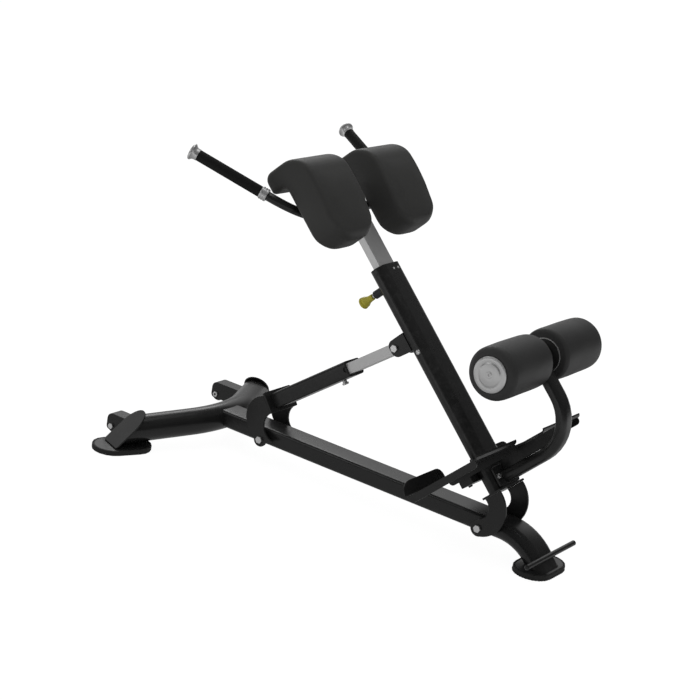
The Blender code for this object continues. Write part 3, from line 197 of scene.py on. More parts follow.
# %% [markdown]
# The floor
#
# The floor is white too, and in the photo the bench throws almost no shadow on it. To camera rays, and to
# rays that bounce off metal, it is mostly its own white, with some of the real light added, so a faint
# shadow stays under the feet. The bench itself darkens the floor close to it, so metal sees that part
# dimmer. To every other ray it is plain pale paint, which lights the tubes from below.

# %% The floor
FLOOR_HALF = 14.0
FLOOR_DROP = 0.0004
FLOOR_GLOW = 0.95
# The glow that metal sees close to the bench is dimmed: a painted shadow of the bench on the floor.
PAINTED_SHADOW_GLOW = 0.44
PAINTED_SHADOW_REACH = (0.9, 2.6)
PLAIN_PAINT = (0.62, 0.62, 0.62, 1.0)
SHADOW_PAINT = (0.12, 0.12, 0.12, 1.0)
floor_mesh = bpy.data.meshes.new("studio_floor")
corners = [(x * FLOOR_HALF, y * FLOOR_HALF, 0) for x, y in ((-1, -1), (1, -1), (1, 1), (-1, 1))]
floor_mesh.from_pydata(corners, [], [(0, 1, 2, 3)])
floor = bpy.data.objects.new("studio_floor", floor_mesh)
scene.collection.objects.link(floor)
floor.location.z = -FLOOR_DROP
floor_paint = bpy.data.materials.new("pale_floor")
floor_paint.use_nodes = True
tree = floor_paint.node_tree
tree.nodes.clear()
spot = add_node(tree, "ShaderNodeNewGeometry").outputs["Position"]
from_middle = add_node(tree, "ShaderNodeVectorMath", {0: spot}, operation="LENGTH").outputs["Value"]
# Painted shadow: the floor's glow for metal drops close to the bench.
painted_shadow_level = mapped(tree, from_middle, *PAINTED_SHADOW_REACH, PAINTED_SHADOW_GLOW, FLOOR_GLOW, "SMOOTHSTEP")
plain = add_node(tree, "ShaderNodeBsdfDiffuse", {"Color": PLAIN_PAINT})
thin = add_node(tree, "ShaderNodeBsdfDiffuse", {"Color": SHADOW_PAINT})
glow = add_node(tree, "ShaderNodeEmission", {"Color": WHITE, "Strength": FLOOR_GLOW})
glow_with_painted_shadow = add_node(tree, "ShaderNodeEmission", {"Color": WHITE, "Strength": painted_shadow_level})
both = add_node(tree, "ShaderNodeAddShader", {0: thin.outputs[0], 1: glow.outputs[0]})
surface = by_ray(tree, plain.outputs[0], glow_with_painted_shadow.outputs[0], both.outputs[0])
add_node(tree, "ShaderNodeOutputMaterial", {"Surface": surface})
floor_mesh.materials.append(floor_paint)
print("floor of", 2 * FLOOR_HALF, "m")

# %% [markdown]
# The lamps
#
# One large soft box hangs high behind the bench and gives the tops of the tubes their narrow bright line.
# A small one overhead and a weak one at the left and front only shape the pads and the rollers.

# %% The lamps
LAMP_TARGET = Vector((0, 0, 0.4))


def soft_box(name, place, width, depth, watts):
    data = bpy.data.lights.new(name, "AREA")
    data.shape = "RECTANGLE"
    data.size = width
    data.size_y = depth
    data.energy = watts
    lamp = bpy.data.objects.new(name, data)
    scene.collection.objects.link(lamp)
    lamp.location = place
    lamp.rotation_euler = (LAMP_TARGET - Vector(place)).to_track_quat("-Z", "Y").to_euler()


soft_box("back_left_box", (-2.6, 2.2, 2.6), width=2.0, depth=1.2, watts=22)
soft_box("overhead_box", (0.1, 0.2, 3.4), width=1.6, depth=1.0, watts=10)
soft_box("front_left_box", (-2.4, -3.0, 2.6), width=1.6, depth=1.6, watts=12)
scene.view_settings.view_transform = "Standard"

# %% [markdown]
# Effects that several finishes share
#
# Real surfaces are never one flat value. A few effects are used again and again, so each is a node group
# with its own inputs: worn edges, patchy gloss, settled dust, and a fine grain for bumps. A group gives
# out only masks and heights. The shader itself stays in each material.

# %% Start a node group
def new_effect(name, inputs, outputs):
    group = bpy.data.node_groups.new(name, "ShaderNodeTree")
    for label, value in inputs:
        socket = group.interface.new_socket(name=label, in_out="INPUT", socket_type="NodeSocketFloat")
        socket.default_value = value
    for label in outputs:
        group.interface.new_socket(name=label, in_out="OUTPUT", socket_type="NodeSocketFloat")
    start = group.nodes.new("NodeGroupInput")
    end = group.nodes.new("NodeGroupOutput")
    return group, start.outputs, end.inputs


def object_place(tree):
    return add_node(tree, "ShaderNodeTexCoord").outputs["Object"]


def noise(tree, place, scale, **inputs):
    settings = {"Vector": place, "Scale": scale, **inputs}
    return add_node(tree, "ShaderNodeTexNoise", settings).outputs["Fac"]


# %% Worn edges
# Paint thins where hands and shoes rub it. Pointiness is high on outer edges, and noise breaks the line up.
EDGE_FADE = (0.515, 0.60)
CHIP_FADE = (0.48, 0.66)
edge_wear, given, result = new_effect("edge_wear", [("Amount", 0.5), ("Break Up", 60.0)], ["Mask"])
shape = add_node(edge_wear, "ShaderNodeNewGeometry")
chips = noise(edge_wear, object_place(edge_wear), given["Break Up"], Detail=6.0, Roughness=0.7)
sharp = mapped(edge_wear, shape.outputs["Pointiness"], *EDGE_FADE)
broken = mapped(edge_wear, chips, *CHIP_FADE)
chipped = product(edge_wear, sharp, broken)
join(edge_wear, product(edge_wear, chipped, given["Amount"]), result["Mask"])
print("effect:", edge_wear.name)

# %% Patchy gloss
# Handling leaves broad, faint patches that are a little glossier or duller than the rest.
PATCH_FADE = (0.32, 0.68)
patchy_gloss, given, result = new_effect("patchy_gloss", [("Size", 9.0), ("Low", 0.35), ("High", 0.45)],
                                         ["Roughness", "Mask"])
broad = noise(patchy_gloss, object_place(patchy_gloss), given["Size"], Detail=5.0, Roughness=0.6)
spread = mapped(patchy_gloss, broad, *PATCH_FADE)
level = mapped(patchy_gloss, spread, 0.0, 1.0, given["Low"], given["High"])
join(patchy_gloss, level, result["Roughness"])
join(patchy_gloss, spread, result["Mask"])
print("effect:", patchy_gloss.name)

# %% Settled dust
# Gym dust lies on faces that look up. The normal's height says which those are.
UPWARD_FADE = (0.35, 1.0)
DRIFT_FADE = (0.35, 0.8)
SPECK_SCALE = 130.0
settled_dust, given, result = new_effect("settled_dust", [("Amount", 0.2)], ["Mask"])
shape = add_node(settled_dust, "ShaderNodeNewGeometry")
parts = add_node(settled_dust, "ShaderNodeSeparateXYZ", {0: shape.outputs["Normal"]})
facing_up = mapped(settled_dust, parts.outputs["Z"], *UPWARD_FADE)
specks = noise(settled_dust, object_place(settled_dust), SPECK_SCALE, Detail=3.0)
drift = mapped(settled_dust, specks, *DRIFT_FADE)
lying = product(settled_dust, facing_up, drift)
join(settled_dust, product(settled_dust, lying, given["Amount"]), result["Mask"])
print("effect:", settled_dust.name)

# %% Fine grain
# Powder coat, moulded plastic and foam skin all have a fine pebbled surface. Two sizes of noise make it.
COARSE_SIZE = 0.22
fine_grain, given, result = new_effect("fine_grain", [("Size", 900.0), ("Coarse Share", 0.35)], ["Height"])
place = object_place(fine_grain)
small = noise(fine_grain, place, given["Size"], Detail=2.0, Roughness=0.5)
large = noise(fine_grain, place, product(fine_grain, given["Size"], COARSE_SIZE), Detail=1.0)
blend = add_node(fine_grain, "ShaderNodeMix", {"Factor": given["Coarse Share"], "A": small, "B": large},
                 data_type="FLOAT")
join(fine_grain, blend.outputs["Result"], result["Height"])
print("effect:", fine_grain.name)

# %% [markdown]
# A finish from its parts
#
# Every finish of the bench starts the same way: a base colour, a second colour where it is worn, a third
# where dust lies, a patchy roughness and a fine bump. One function below builds that much. The last one
# lets a finish with a pattern of its own feed the bump instead. Values that are the same all over the
# surface, such as the metal share, are typed on the shader's own sockets.

# %% Build a finish
DUST_LEVEL = 150


def add_effect(tree, group, **values):
    inputs = {label.replace("_", " "): value for label, value in values.items()}
    return add_node(tree, "ShaderNodeGroup", inputs, node_tree=group).outputs


def colour_between(tree, share, first, second):
    inputs = {"Factor": share, "A": first, "B": second}
    return add_node(tree, "ShaderNodeMix", inputs, data_type="RGBA").outputs["Result"]


def new_finish(name, colour, worn, rough, bump, wear, dust, grain=900.0, depth=0.0002, metal=0.0,
               gloss=0.5, patch=9.0):
    finish = bpy.data.materials.new(name)
    finish.use_nodes = True
    tree = finish.node_tree
    shader = tree.nodes["Principled BSDF"]
    shader.inputs["Metallic"].default_value = metal
    shader.inputs["Specular IOR Level"].default_value = gloss
    patches = add_effect(tree, patchy_gloss, Size=patch, Low=rough[0], High=rough[1])
    edges = add_effect(tree, edge_wear, Amount=wear)
    dusty = add_effect(tree, settled_dust, Amount=dust)
    grainy = add_effect(tree, fine_grain, Size=grain)
    tone = colour_between(tree, patches["Mask"], shade_of(colour[0]), shade_of(colour[1]))
    rubbed = colour_between(tree, edges["Mask"], tone, shade_of(worn))
    powdered = colour_between(tree, dusty["Mask"], rubbed, shade_of(DUST_LEVEL))
    heights = {"Height": grainy["Height"], "Strength": bump, "Distance": depth}
    bumps = add_node(tree, "ShaderNodeBump", heights)
    join(tree, powdered, shader.inputs["Base Color"])
    join(tree, patches["Roughness"], shader.inputs["Roughness"])
    join(tree, bumps.outputs["Normal"], shader.inputs["Normal"])
    return finish


def raise_pattern(finish, height):
    """The bump of a finish follows this height in place of the fine grain."""
    join(finish.node_tree, height, finish.node_tree.nodes["Bump"].inputs["Height"])


# %% [markdown]
# The finishes
#
# Most of the bench is satin black powder coat: near black, fairly glossy, with a light orange peel. The
# telescoping bars are silver paint, the bolts bright zinc, and the caps and collars turned aluminium. The
# pads and the rollers are the same charcoal, one a smooth vinyl and the other a foam skin.

# %% Painted and plated metal
black_coat = new_finish("black_powder_coat", (26, 29), 74, (0.25, 0.32), bump=0.03, wear=0.18, dust=0.02,
                        grain=700.0, gloss=0.42)
silver_coat = new_finish("silver_paint", (202, 208), 216, (0.38, 0.44), bump=0.03, wear=0.2, dust=0.01,
                         metal=0.8)
bright_zinc = new_finish("bright_zinc_plate", (222, 228), 190, (0.26, 0.32), bump=0.02, wear=0.1, dust=0.01,
                         grain=1100.0, metal=0.9, patch=30.0)
turned_aluminium = new_finish("turned_aluminium", (191, 195), 208, (0.34, 0.38), bump=0.02, wear=0.1,
                              dust=0.01, grain=1500.0, metal=0.75, patch=20.0)
print("metal finishes:", black_coat.name, silver_coat.name, bright_zinc.name, turned_aluminium.name)

# %% Rubber and plastic
foot_rubber = new_finish("foot_rubber", (24, 28), 52, (0.62, 0.80), bump=0.18, wear=0.2, dust=0.06,
                         grain=600.0)
black_plastic = new_finish("moulded_black_plastic", (24, 28), 56, (0.45, 0.58), bump=0.12, wear=0.25,
                           dust=0.06, grain=800.0)
knob_yellow = new_finish("yellow_knob_plastic", ((176, 166, 44), (184, 174, 52)), (198, 192, 100),
                         (0.34, 0.46), bump=0.06, wear=0.3, dust=0.03)
print("moulded finishes:", foot_rubber.name, black_plastic.name, knob_yellow.name)

# %% [markdown]
# Grip rubber
#
# The grips are pushed-on sleeves with a fine cross-hatch that keeps a wet hand from turning. Two sets of
# thin waves that cross one another make the little cells, and they go only into the bump.

# %% Grip rubber
HATCH_SCALE = 130.0
HATCH_TURNS = ((0.55, 0.4, 0.33), (-0.9, 0.4, -0.54))
grip_rubber = new_finish("textured_grip_rubber", (13, 16), 30, (0.66, 0.78), bump=0.35, wear=0.1,
                         dust=0.01, depth=0.0004, gloss=0.25)
tree = grip_rubber.node_tree
place = object_place(tree)
waves = []
for angles in HATCH_TURNS:
    turned_space = add_node(tree, "ShaderNodeMapping", {"Vector": place, "Rotation": angles})
    inputs = {"Vector": turned_space.outputs[0], "Scale": HATCH_SCALE, "Distortion": 0.3, "Detail": 1.0}
    waves.append(add_node(tree, "ShaderNodeTexWave", inputs).outputs["Fac"])
raise_pattern(grip_rubber, product(tree, *waves))
print("hatched finish:", grip_rubber.name)

# %% [markdown]
# Vinyl and foam skin
#
# The pads are wrapped in smooth charcoal vinyl. Close up it has a leather-like grain of small cells with
# soft creases between them. The rollers' foam skin is a little glossier, and its cells are smaller.

# %% Leather-like grain
CELL_BEND = 0.004
BEND_SCALE = 60.0
CREASE_WIDTH = 0.22
leather_grain, given, result = new_effect("leather_grain", [("Size", 420.0)], ["Height"])
place = object_place(leather_grain)
bent = add_node(leather_grain, "ShaderNodeTexNoise", {"Vector": place, "Scale": BEND_SCALE, "Detail": 3.0})
shift = add_node(leather_grain, "ShaderNodeVectorMath",
                 {0: bent.outputs["Color"], 1: (CELL_BEND, CELL_BEND, CELL_BEND), 2: place},
                 operation="MULTIPLY_ADD")
cells = add_node(leather_grain, "ShaderNodeTexVoronoi", {"Vector": shift.outputs[0], "Scale": given["Size"]},
                 feature="DISTANCE_TO_EDGE")
soft = mapped(leather_grain, cells.outputs["Distance"], 0.0, CREASE_WIDTH, kind="SMOOTHSTEP")
join(leather_grain, soft, result["Height"])
print("effect:", leather_grain.name)

# %% Pad vinyl and roller skin
def grained(name, colour, rough, size, bump):
    finish = new_finish(name, colour, 70, rough, bump=bump, wear=0.06, dust=0.03, gloss=0.28, patch=6.0)
    raise_pattern(finish, add_effect(finish.node_tree, leather_grain, Size=size)["Height"])
    return finish


charcoal_vinyl = grained("charcoal_vinyl", ((50, 50, 49), (53, 53, 52)), (0.50, 0.58), size=520.0, bump=0.10)
roller_skin = grained("charcoal_foam_skin", (45, 49), (0.46, 0.54), size=900.0, bump=0.14)
print("soft finishes:", charcoal_vinyl.name, roller_skin.name)

# %% [markdown]
# From a form to a visible piece
#
# Every piece ends the same way: its form becomes a mesh, takes its finish, is shaded smooth up to a given
# angle, and is told which body it moves with. A small bevel gives metal the thin bright line that a
# photograph shows along each edge.

# %% Shape helpers
SLOT_FINISH = {"frame_paint": black_coat, "silver_paint": silver_coat, "zinc": bright_zinc,
               "aluminium": turned_aluminium, "foot_rubber": foot_rubber, "grip_rubber": grip_rubber,
               "black_plastic": black_plastic, "knob_plastic": knob_yellow, "upholstery": charcoal_vinyl,
               "roller_foam": roller_skin}
SOFT_ANGLE = 32


def mesh_of(form, name):
    bmesh.ops.recalc_face_normals(form, faces=form.faces)
    mesh = bpy.data.meshes.new(name)
    form.to_mesh(mesh)
    form.free()
    return mesh


def skin(form, rings):
    """Faces between each ring of points and the next."""
    for first, second in zip(rings, rings[1:]):
        for k in range(len(first)):
            after = (k + 1) % len(first)
            form.faces.new((first[k], first[after], second[after], second[k]))


def new_object(name, mesh):
    piece = bpy.data.objects.new(name, mesh)
    scene.collection.objects.link(piece)
    return piece


def shown(name, mesh, slot, body, soft_angle=SOFT_ANGLE, finish=None):
    mesh.shade_smooth()
    mesh.set_sharp_from_angle(angle=radians(soft_angle))
    mesh.materials.append(finish or SLOT_FINISH[slot])
    piece = new_object(name, mesh)
    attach(piece, body)
    return piece


def soften_edges(piece, width, soft_angle=SOFT_ANGLE):
    bevel = piece.modifiers.new("soft_edges", "BEVEL")
    bevel.width = width
    bevel.segments = 2
    bevel.limit_method = "ANGLE"
    bevel.angle_limit = radians(soft_angle)
    bevel.harden_normals = True


# %% [markdown]
# Finishing a piece that is already the right shape
#
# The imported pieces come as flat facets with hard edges, because they are exact solids for a simulator. So
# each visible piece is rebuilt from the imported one: its facets are welded, flat areas are made into single
# faces, its edges get a small bevel and its curves are shaded smooth.

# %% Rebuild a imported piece
WELD_DISTANCE = 0.00002
FLAT_ANGLE = 0.4
FINISHED_ANGLE = 38
node_slot = {part["node"]: part["material_slot"] for part in frame["record"]["subparts"]}


def welded_mesh(node, name):
    packed = frame["nodes"][node].data
    mesh = bpy.data.meshes.new(name)
    mesh.from_pydata([v.co[:] for v in packed.vertices], [], [tuple(p.vertices) for p in packed.polygons])
    form = bmesh.new()
    form.from_mesh(mesh)
    bmesh.ops.remove_doubles(form, verts=form.verts, dist=WELD_DISTANCE)
    bmesh.ops.dissolve_limit(form, angle_limit=radians(FLAT_ANGLE), verts=form.verts, edges=form.edges)
    bmesh.ops.recalc_face_normals(form, faces=form.faces)
    form.to_mesh(mesh)
    form.free()
    return mesh


def finished(node, edge, soft_angle=FINISHED_ANGLE):
    name = f"{node}_finished"
    body = frame["nodes"][node]["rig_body"]
    piece = shown(name, welded_mesh(node, name), node_slot[node], body, soft_angle)
    if edge:
        soften_edges(piece, edge, soft_angle)
    flat = piece.modifiers.new("flat_faces_stay_flat", "WEIGHTED_NORMAL")
    flat.keep_sharp = True
    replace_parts(piece, node)


# %% [markdown]
# Places on the leaning post
#
# Most of the bench is built square to the post, which leans at 45 degrees. So a place is easiest to give as
# a distance across the post, one sideways, and one along it, all from the foot of the post.

# %% The post's own directions
POST_FOOT = Vector((0.46417, 0, 0.17614))
POST_ACROSS = Vector((sqrt(0.5), 0, sqrt(0.5)))
POST_ALONG = Vector((-sqrt(0.5), 0, sqrt(0.5)))


def on_post(across, y, along):
    """A point given by its distances across and along the leaning post."""
    return POST_FOOT + POST_ACROSS * across + Vector((0, y, 0)) + POST_ALONG * along


def place_on_post(point):
    offset = Vector(point) - POST_FOOT
    return offset.dot(POST_ACROSS), offset.dot(POST_ALONG)


print("post leans towards", [round(value, 3) for value in POST_ALONG])

# %% [markdown]
# Turned pieces
#
# Rollers, screws and caps are round, so each is a profile spun about its own line. The profile is a list
# of radius and height pairs, and the piece is placed by the point where height is zero and the way it
# points.

# %% Spin a profile
def turned(name, profile, place, way, slot, body, steps=48, soft_angle=38, finish=None):
    """A profile of radius and height pairs, spun about the line that leaves the place in the given way."""
    form = bmesh.new()
    rings = []
    for radius, height in profile:
        turns = [2 * pi * k / steps for k in range(steps)] if radius else [0]
        rings.append([form.verts.new((radius * cos(turn), radius * sin(turn), height)) for turn in turns])
    for low, high in zip(rings, rings[1:]):
        for k in range(steps):
            after = (k + 1) % steps
            corners = [low[k % len(low)], low[after % len(low)],
                       high[after % len(high)], high[k % len(high)]]
            unique = list(dict.fromkeys(corners))
            if len(unique) > 2:
                form.faces.new(unique)
    mesh = mesh_of(form, name)
    towards = Vector(way).normalized().to_track_quat("Z", "Y").to_matrix().to_4x4()
    mesh.transform(Matrix.Translation(place) @ towards)
    return shown(name, mesh, slot, body, soft_angle, finish)


# %% [markdown]
# Plates
#
# A plate is an outline in two directions and a thickness. Its corners are given with a radius each, and
# the edges get a small bevel, as a cut and deburred plate has.

# %% Cut a plate
def rounded(corners, steps=8):
    """The corners as points, each with a radius other than zero turned into an arc."""
    points = []
    count = len(corners)
    for index, (x, y, radius) in enumerate(corners):
        here = Vector((x, y))
        if not radius:
            points.append((x, y))
            continue
        before = (Vector(corners[index - 1][:2]) - here).normalized()
        after = (Vector(corners[(index + 1) % count][:2]) - here).normalized()
        half = acos(max(-1, min(1, before.dot(after)))) / 2
        middle = here + (before + after).normalized() * (radius / sin(half))
        start = here + before * (radius / tan(half)) - middle
        end = here + after * (radius / tan(half)) - middle
        sweep = atan2(start.x * end.y - start.y * end.x, start.dot(end))
        for k in range(steps + 1):
            angle = sweep * k / steps
            points.append((middle.x + start.x * cos(angle) - start.y * sin(angle),
                           middle.y + start.x * sin(angle) + start.y * cos(angle)))
    return points


def cut_plate(name, outline, thick, place, first, second, slot, body, edge=0.0008):
    """A plate whose outline lies along the two directions, with its middle plane through the place."""
    x, y = Vector(first).normalized(), Vector(second).normalized()
    half = x.cross(y) * (thick / 2)
    form = bmesh.new()
    low, high = [[form.verts.new(Vector(place) + x * u + y * v + half * way) for u, v in outline]
                 for way in (-1, 1)]
    form.faces.new(low[::-1])
    form.faces.new(high)
    skin(form, [low, high])
    piece = shown(name, mesh_of(form, name), slot, body)
    soften_edges(piece, edge)
    return piece


# %% [markdown]
# All rigid pieces
#
# Most pieces keep their imported shape. Tubes and plates take a small edge, and bolts, pins and other small
# ones a finer one. Two pieces have no bevel, meant against faint marks on them, which stay all the same.
# The pads, the round trim, the front leg tube and two plates are made anew further down.

# %% Finish the rigid pieces
SOFT_NODES = ["thigh_pad_left", "thigh_pad_right", "roller_left", "roller_right"]
SPUN_NODES = [f"{word}_{side}" for word in ("roller_cap", "roller_flange", "grip_cap", "grip_collar", "grip",
                                            "transport_wheel") for side, sign in SIDES]
OTHER_NODES = SOFT_NODES + SPUN_NODES + ["pull_knob", "clevis_bracket", "arm_gusset", "front_leg_tube"]
FINE_EDGE = ("wheel_axle", "bolt", "pull_pin", "brace_end_plate")
PLAIN_EDGE = ("post_end_plate", "rear_foot_tube")
EDGE_WIDTH = 0.0007
FINE_WIDTH = 0.0003
PLAIN_ANGLE = 50
rigid = [node for node in sorted(frame["nodes"]) if node not in OTHER_NODES]
for node in rigid:
    fine = any(word in node for word in FINE_EDGE)
    if node in PLAIN_EDGE:
        finished(node, edge=0, soft_angle=PLAIN_ANGLE)
    else:
        finished(node, edge=FINE_WIDTH if fine else EDGE_WIDTH)
print("finished pieces:", len(rigid))

# %% [markdown]
# The front leg tube
#
# The bent tube at the front is the thickest of the bench, and a long highlight runs along it. It is swept
# again with many steps along the bend and around, and cut off at the two leaning end plates. The packed
# rail stops a few millimetres short of the round tube, so a short length of its section is added, which
# runs on into the tube as a coped and welded end does.

# %% Sweep the leg tube
LEG_RADIUS = 0.038
LEG_CORNER = Vector((-0.424, 0, 0.0755))
LEG_PLAN_ANGLE = radians(23.7)
LEG_SLOPE = 0.0640
LEG_BEND_RADIUS = 0.30
PLATE_FOOT = 0.372
PLATE_FOOT_Z = 0.0137
LEG_RUN = 0.44
BEND_STEPS = 48
AROUND_STEPS = 72


def leg_way(sign, slope):
    return Vector((-sin(LEG_PLAN_ANGLE), sign * cos(LEG_PLAN_ANGLE), -slope))


near_way, far_way = [leg_way(sign, LEG_SLOPE).normalized() for side, sign in SIDES]
half_corner = near_way.angle(far_way) / 2
bend_middle = LEG_CORNER + (near_way + far_way).normalized() * (LEG_BEND_RADIUS / sin(half_corner))
bend_from = LEG_CORNER + near_way * (LEG_BEND_RADIUS / tan(half_corner)) - bend_middle
bend_square = -near_way * LEG_BEND_RADIUS
path = [(LEG_CORNER + near_way * LEG_RUN, -near_way)]
for k in range(BEND_STEPS + 1):
    angle = (pi - 2 * half_corner) * k / BEND_STEPS
    way = -bend_from * sin(angle) + bend_square * cos(angle)
    path.append((bend_middle + bend_from * cos(angle) + bend_square * sin(angle), way.normalized()))
path.append((LEG_CORNER + far_way * LEG_RUN, far_way))
flat_way = near_way.cross(far_way).normalized()
form = bmesh.new()
rings = []
for place, way in path:
    side_way = way.cross(flat_way).normalized()
    angles = [2 * pi * k / AROUND_STEPS for k in range(AROUND_STEPS)]
    rings.append([form.verts.new(place + (side_way * cos(angle) + flat_way * sin(angle)) * LEG_RADIUS)
                  for angle in angles])
skin(form, rings)
for side, sign in SIDES:
    outward = leg_way(sign, 0)
    foot = Vector((LEG_CORNER.x, 0, PLATE_FOOT_Z)) + outward * PLATE_FOOT
    everything = form.verts[:] + form.edges[:] + form.faces[:]
    cut = bmesh.ops.bisect_plane(form, geom=everything, plane_co=foot, plane_no=outward + Vector((0, 0, 1)),
                                 clear_outer=True)
    rim = [part for part in cut["geom_cut"] if isinstance(part, bmesh.types.BMEdge)]
    bmesh.ops.contextual_create(form, geom=rim)
leg = shown("front_leg_swept", mesh_of(form, "front_leg_swept"), "frame_paint", "base")
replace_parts(leg, "front_leg_tube")
print("leg tube faces:", len(leg.data.polygons))

# %% Close the joint behind the leg tube
RAIL_END_X = -0.408
RAIL_JOINT_END_X = -0.440
RAIL_HALF_WIDTH = 0.040
RAIL_LOW_Z = 0.053
RAIL_HIGH_Z = 0.101
RAIL_CORNER = 0.009
rail_corners = ((-1, RAIL_LOW_Z), (1, RAIL_LOW_Z), (1, RAIL_HIGH_Z), (-1, RAIL_HIGH_Z))
rail_outline = rounded([(way * RAIL_HALF_WIDTH, z, RAIL_CORNER) for way, z in rail_corners])
joint_middle = ((RAIL_END_X + RAIL_JOINT_END_X) / 2, 0, 0)
cut_plate("rail_front_joint", rail_outline, RAIL_END_X - RAIL_JOINT_END_X, joint_middle, (0, 1, 0),
          (0, 0, 1), "frame_paint", "base", edge=0.0002)
print("rail joined to the leg tube")

# %% [markdown]
# The thigh pads
#
# A thigh pad is a board with firm foam and a vinyl skin pulled tight over it. The board keeps its back
# flat, and the foam pushes the skin out everywhere else. That is just what a cloth simulation with air
# pressure does: a form a little thinner than the pad is remeshed into even small squares, its back is
# pinned, and pressure swells it for a few frames. How far a point may move is capped, so the pad keeps
# its real size, and the swelling is evened out, because firm foam gives no creases.

# %% Swell a pad with cloth pressure
PAD_SHRINK = 0.0018
PAD_VOXEL = 0.0042
PAD_PRESSURE = 4.0
PAD_STRETCH_STIFFNESS = 30
PAD_BEND_STIFFNESS = 8
PAD_FRAMES = 20
PAD_MOST = 0.0042
PAD_CALMING = 40


def points_of(mesh):
    flat = np.empty(len(mesh.vertices) * 3, np.float32)
    mesh.vertices.foreach_get("co", flat)
    return flat.reshape(-1, 3).astype(float)


def set_points(mesh, points):
    mesh.vertices.foreach_set("co", points.astype(np.float32).ravel())
    mesh.update()


def with_modifiers(piece):
    return piece.evaluated_get(bpy.context.evaluated_depsgraph_get())


def remeshed(mesh, name, voxel):
    carrier = new_object(f"{name}_carrier", mesh)
    even = carrier.modifiers.new("even_squares", "REMESH")
    even.mode = "VOXEL"
    even.voxel_size = voxel
    squares = bpy.data.meshes.new_from_object(with_modifiers(carrier))
    squares.name = name
    bpy.data.objects.remove(carrier)
    return squares


def calmed(mesh, values, rounds):
    """The values, each drawn towards the mean of its neighbours a number of times."""
    pairs = np.empty(len(mesh.edges) * 2, np.int32)
    mesh.edges.foreach_get("vertices", pairs)
    first, second = pairs.reshape(-1, 2).T
    points = len(values)
    count = np.maximum(np.bincount(np.concatenate((first, second)), minlength=points), 1)
    for number in range(rounds):
        total = np.bincount(first, values[second], points) + np.bincount(second, values[first], points)
        values = (values + total / count) / 2
    return values


def swell(piece, pinned):
    board = piece.vertex_groups.new(name="board")
    board.add(pinned, 1.0, "REPLACE")
    before = points_of(piece.data)
    air = piece.modifiers.new("air_pressure", "CLOTH")
    air.settings.use_pressure = True
    air.settings.uniform_pressure_force = PAD_PRESSURE
    air.settings.effector_weights.gravity = 0
    air.settings.vertex_group_mass = "board"
    air.settings.tension_stiffness = PAD_STRETCH_STIFFNESS
    air.settings.compression_stiffness = PAD_STRETCH_STIFFNESS
    air.settings.bending_stiffness = PAD_BEND_STIFFNESS
    air.point_cache.frame_start = 1
    air.point_cache.frame_end = PAD_FRAMES
    for number in range(1, PAD_FRAMES + 1):
        scene.frame_set(number)
    after = points_of(with_modifiers(piece).data)
    piece.modifiers.remove(air)
    scene.frame_set(1)
    normals = np.array([vertex.normal[:] for vertex in piece.data.vertices])
    outwards = np.clip(((after - before) * normals).sum(axis=1), 0, PAD_MOST)
    outwards = calmed(piece.data, outwards, PAD_CALMING)
    set_points(piece.data, before + normals * outwards[:, None])
    print(piece.name, "swelled by up to", round(float(outwards.max()) * 1000, 2), "mm")


# %% The form under the vinyl
PAD_INNER_Y = 0.0605
PAD_OUTER_Y = 0.2462
PAD_MIDDLE_Y = (PAD_INNER_Y + PAD_OUTER_Y) / 2
PAD_BOTTOM = 0.7350
PAD_TOP = 0.9975
PAD_FRONT = 0.091
PAD_BACK = 0.001
PAD_LIP_BACK = -0.046
PAD_LIP_LOW = 0.9365
PAD_CROWN = 0.011
CROWN_LEAN = 1.35
PAD_SIDE_EDGE = 0.014
SIDE_EDGE_STEPS = 6
PAST_SIDE_EDGE = [0.022, 0.031, 0.042, 0.055, 0.072]
PAD_LOW_CORNER = 0.068
PAD_LOW_REACH = 0.11
PAD_SPACING = 0.006
PAD_SIDE_VIEW = [(0.087, PAD_BOTTOM, 0.026), (PAD_FRONT, PAD_TOP - 0.001, 0.060),
                 (PAD_LIP_BACK, PAD_TOP, 0.026), (PAD_LIP_BACK, PAD_LIP_LOW, 0.010),
                 (PAD_BACK, PAD_LIP_LOW, 0.014), (PAD_BACK, PAD_BOTTOM, 0.020)]


def even_outline(points, spacing):
    even = []
    for start, end in zip(points, points[1:] + points[:1]):
        span = Vector(end) - Vector(start)
        cuts = max(1, ceil(span.length / spacing))
        even += [tuple(Vector(start) + span * (k / cuts)) for k in range(cuts)]
    return even


def drawn_in(from_end, radius):
    """How far a round edge has drawn in at this distance from the end face."""
    share = max(1 - from_end / radius, 0)
    return radius * (1 - sqrt(1 - share * share))


def share_of(value, low, high):
    return min(max((value - low) / (high - low), 0), 1)


def crowned(outline):
    """The front of the pad bulges a little between its bottom and its top."""
    points = []
    for across, along in outline:
        height = share_of(along, PAD_BOTTOM, PAD_TOP)
        depth = share_of(across, 0, PAD_FRONT)
        points.append((across + PAD_CROWN * sin(pi * height ** CROWN_LEAN) * depth, along))
    return points


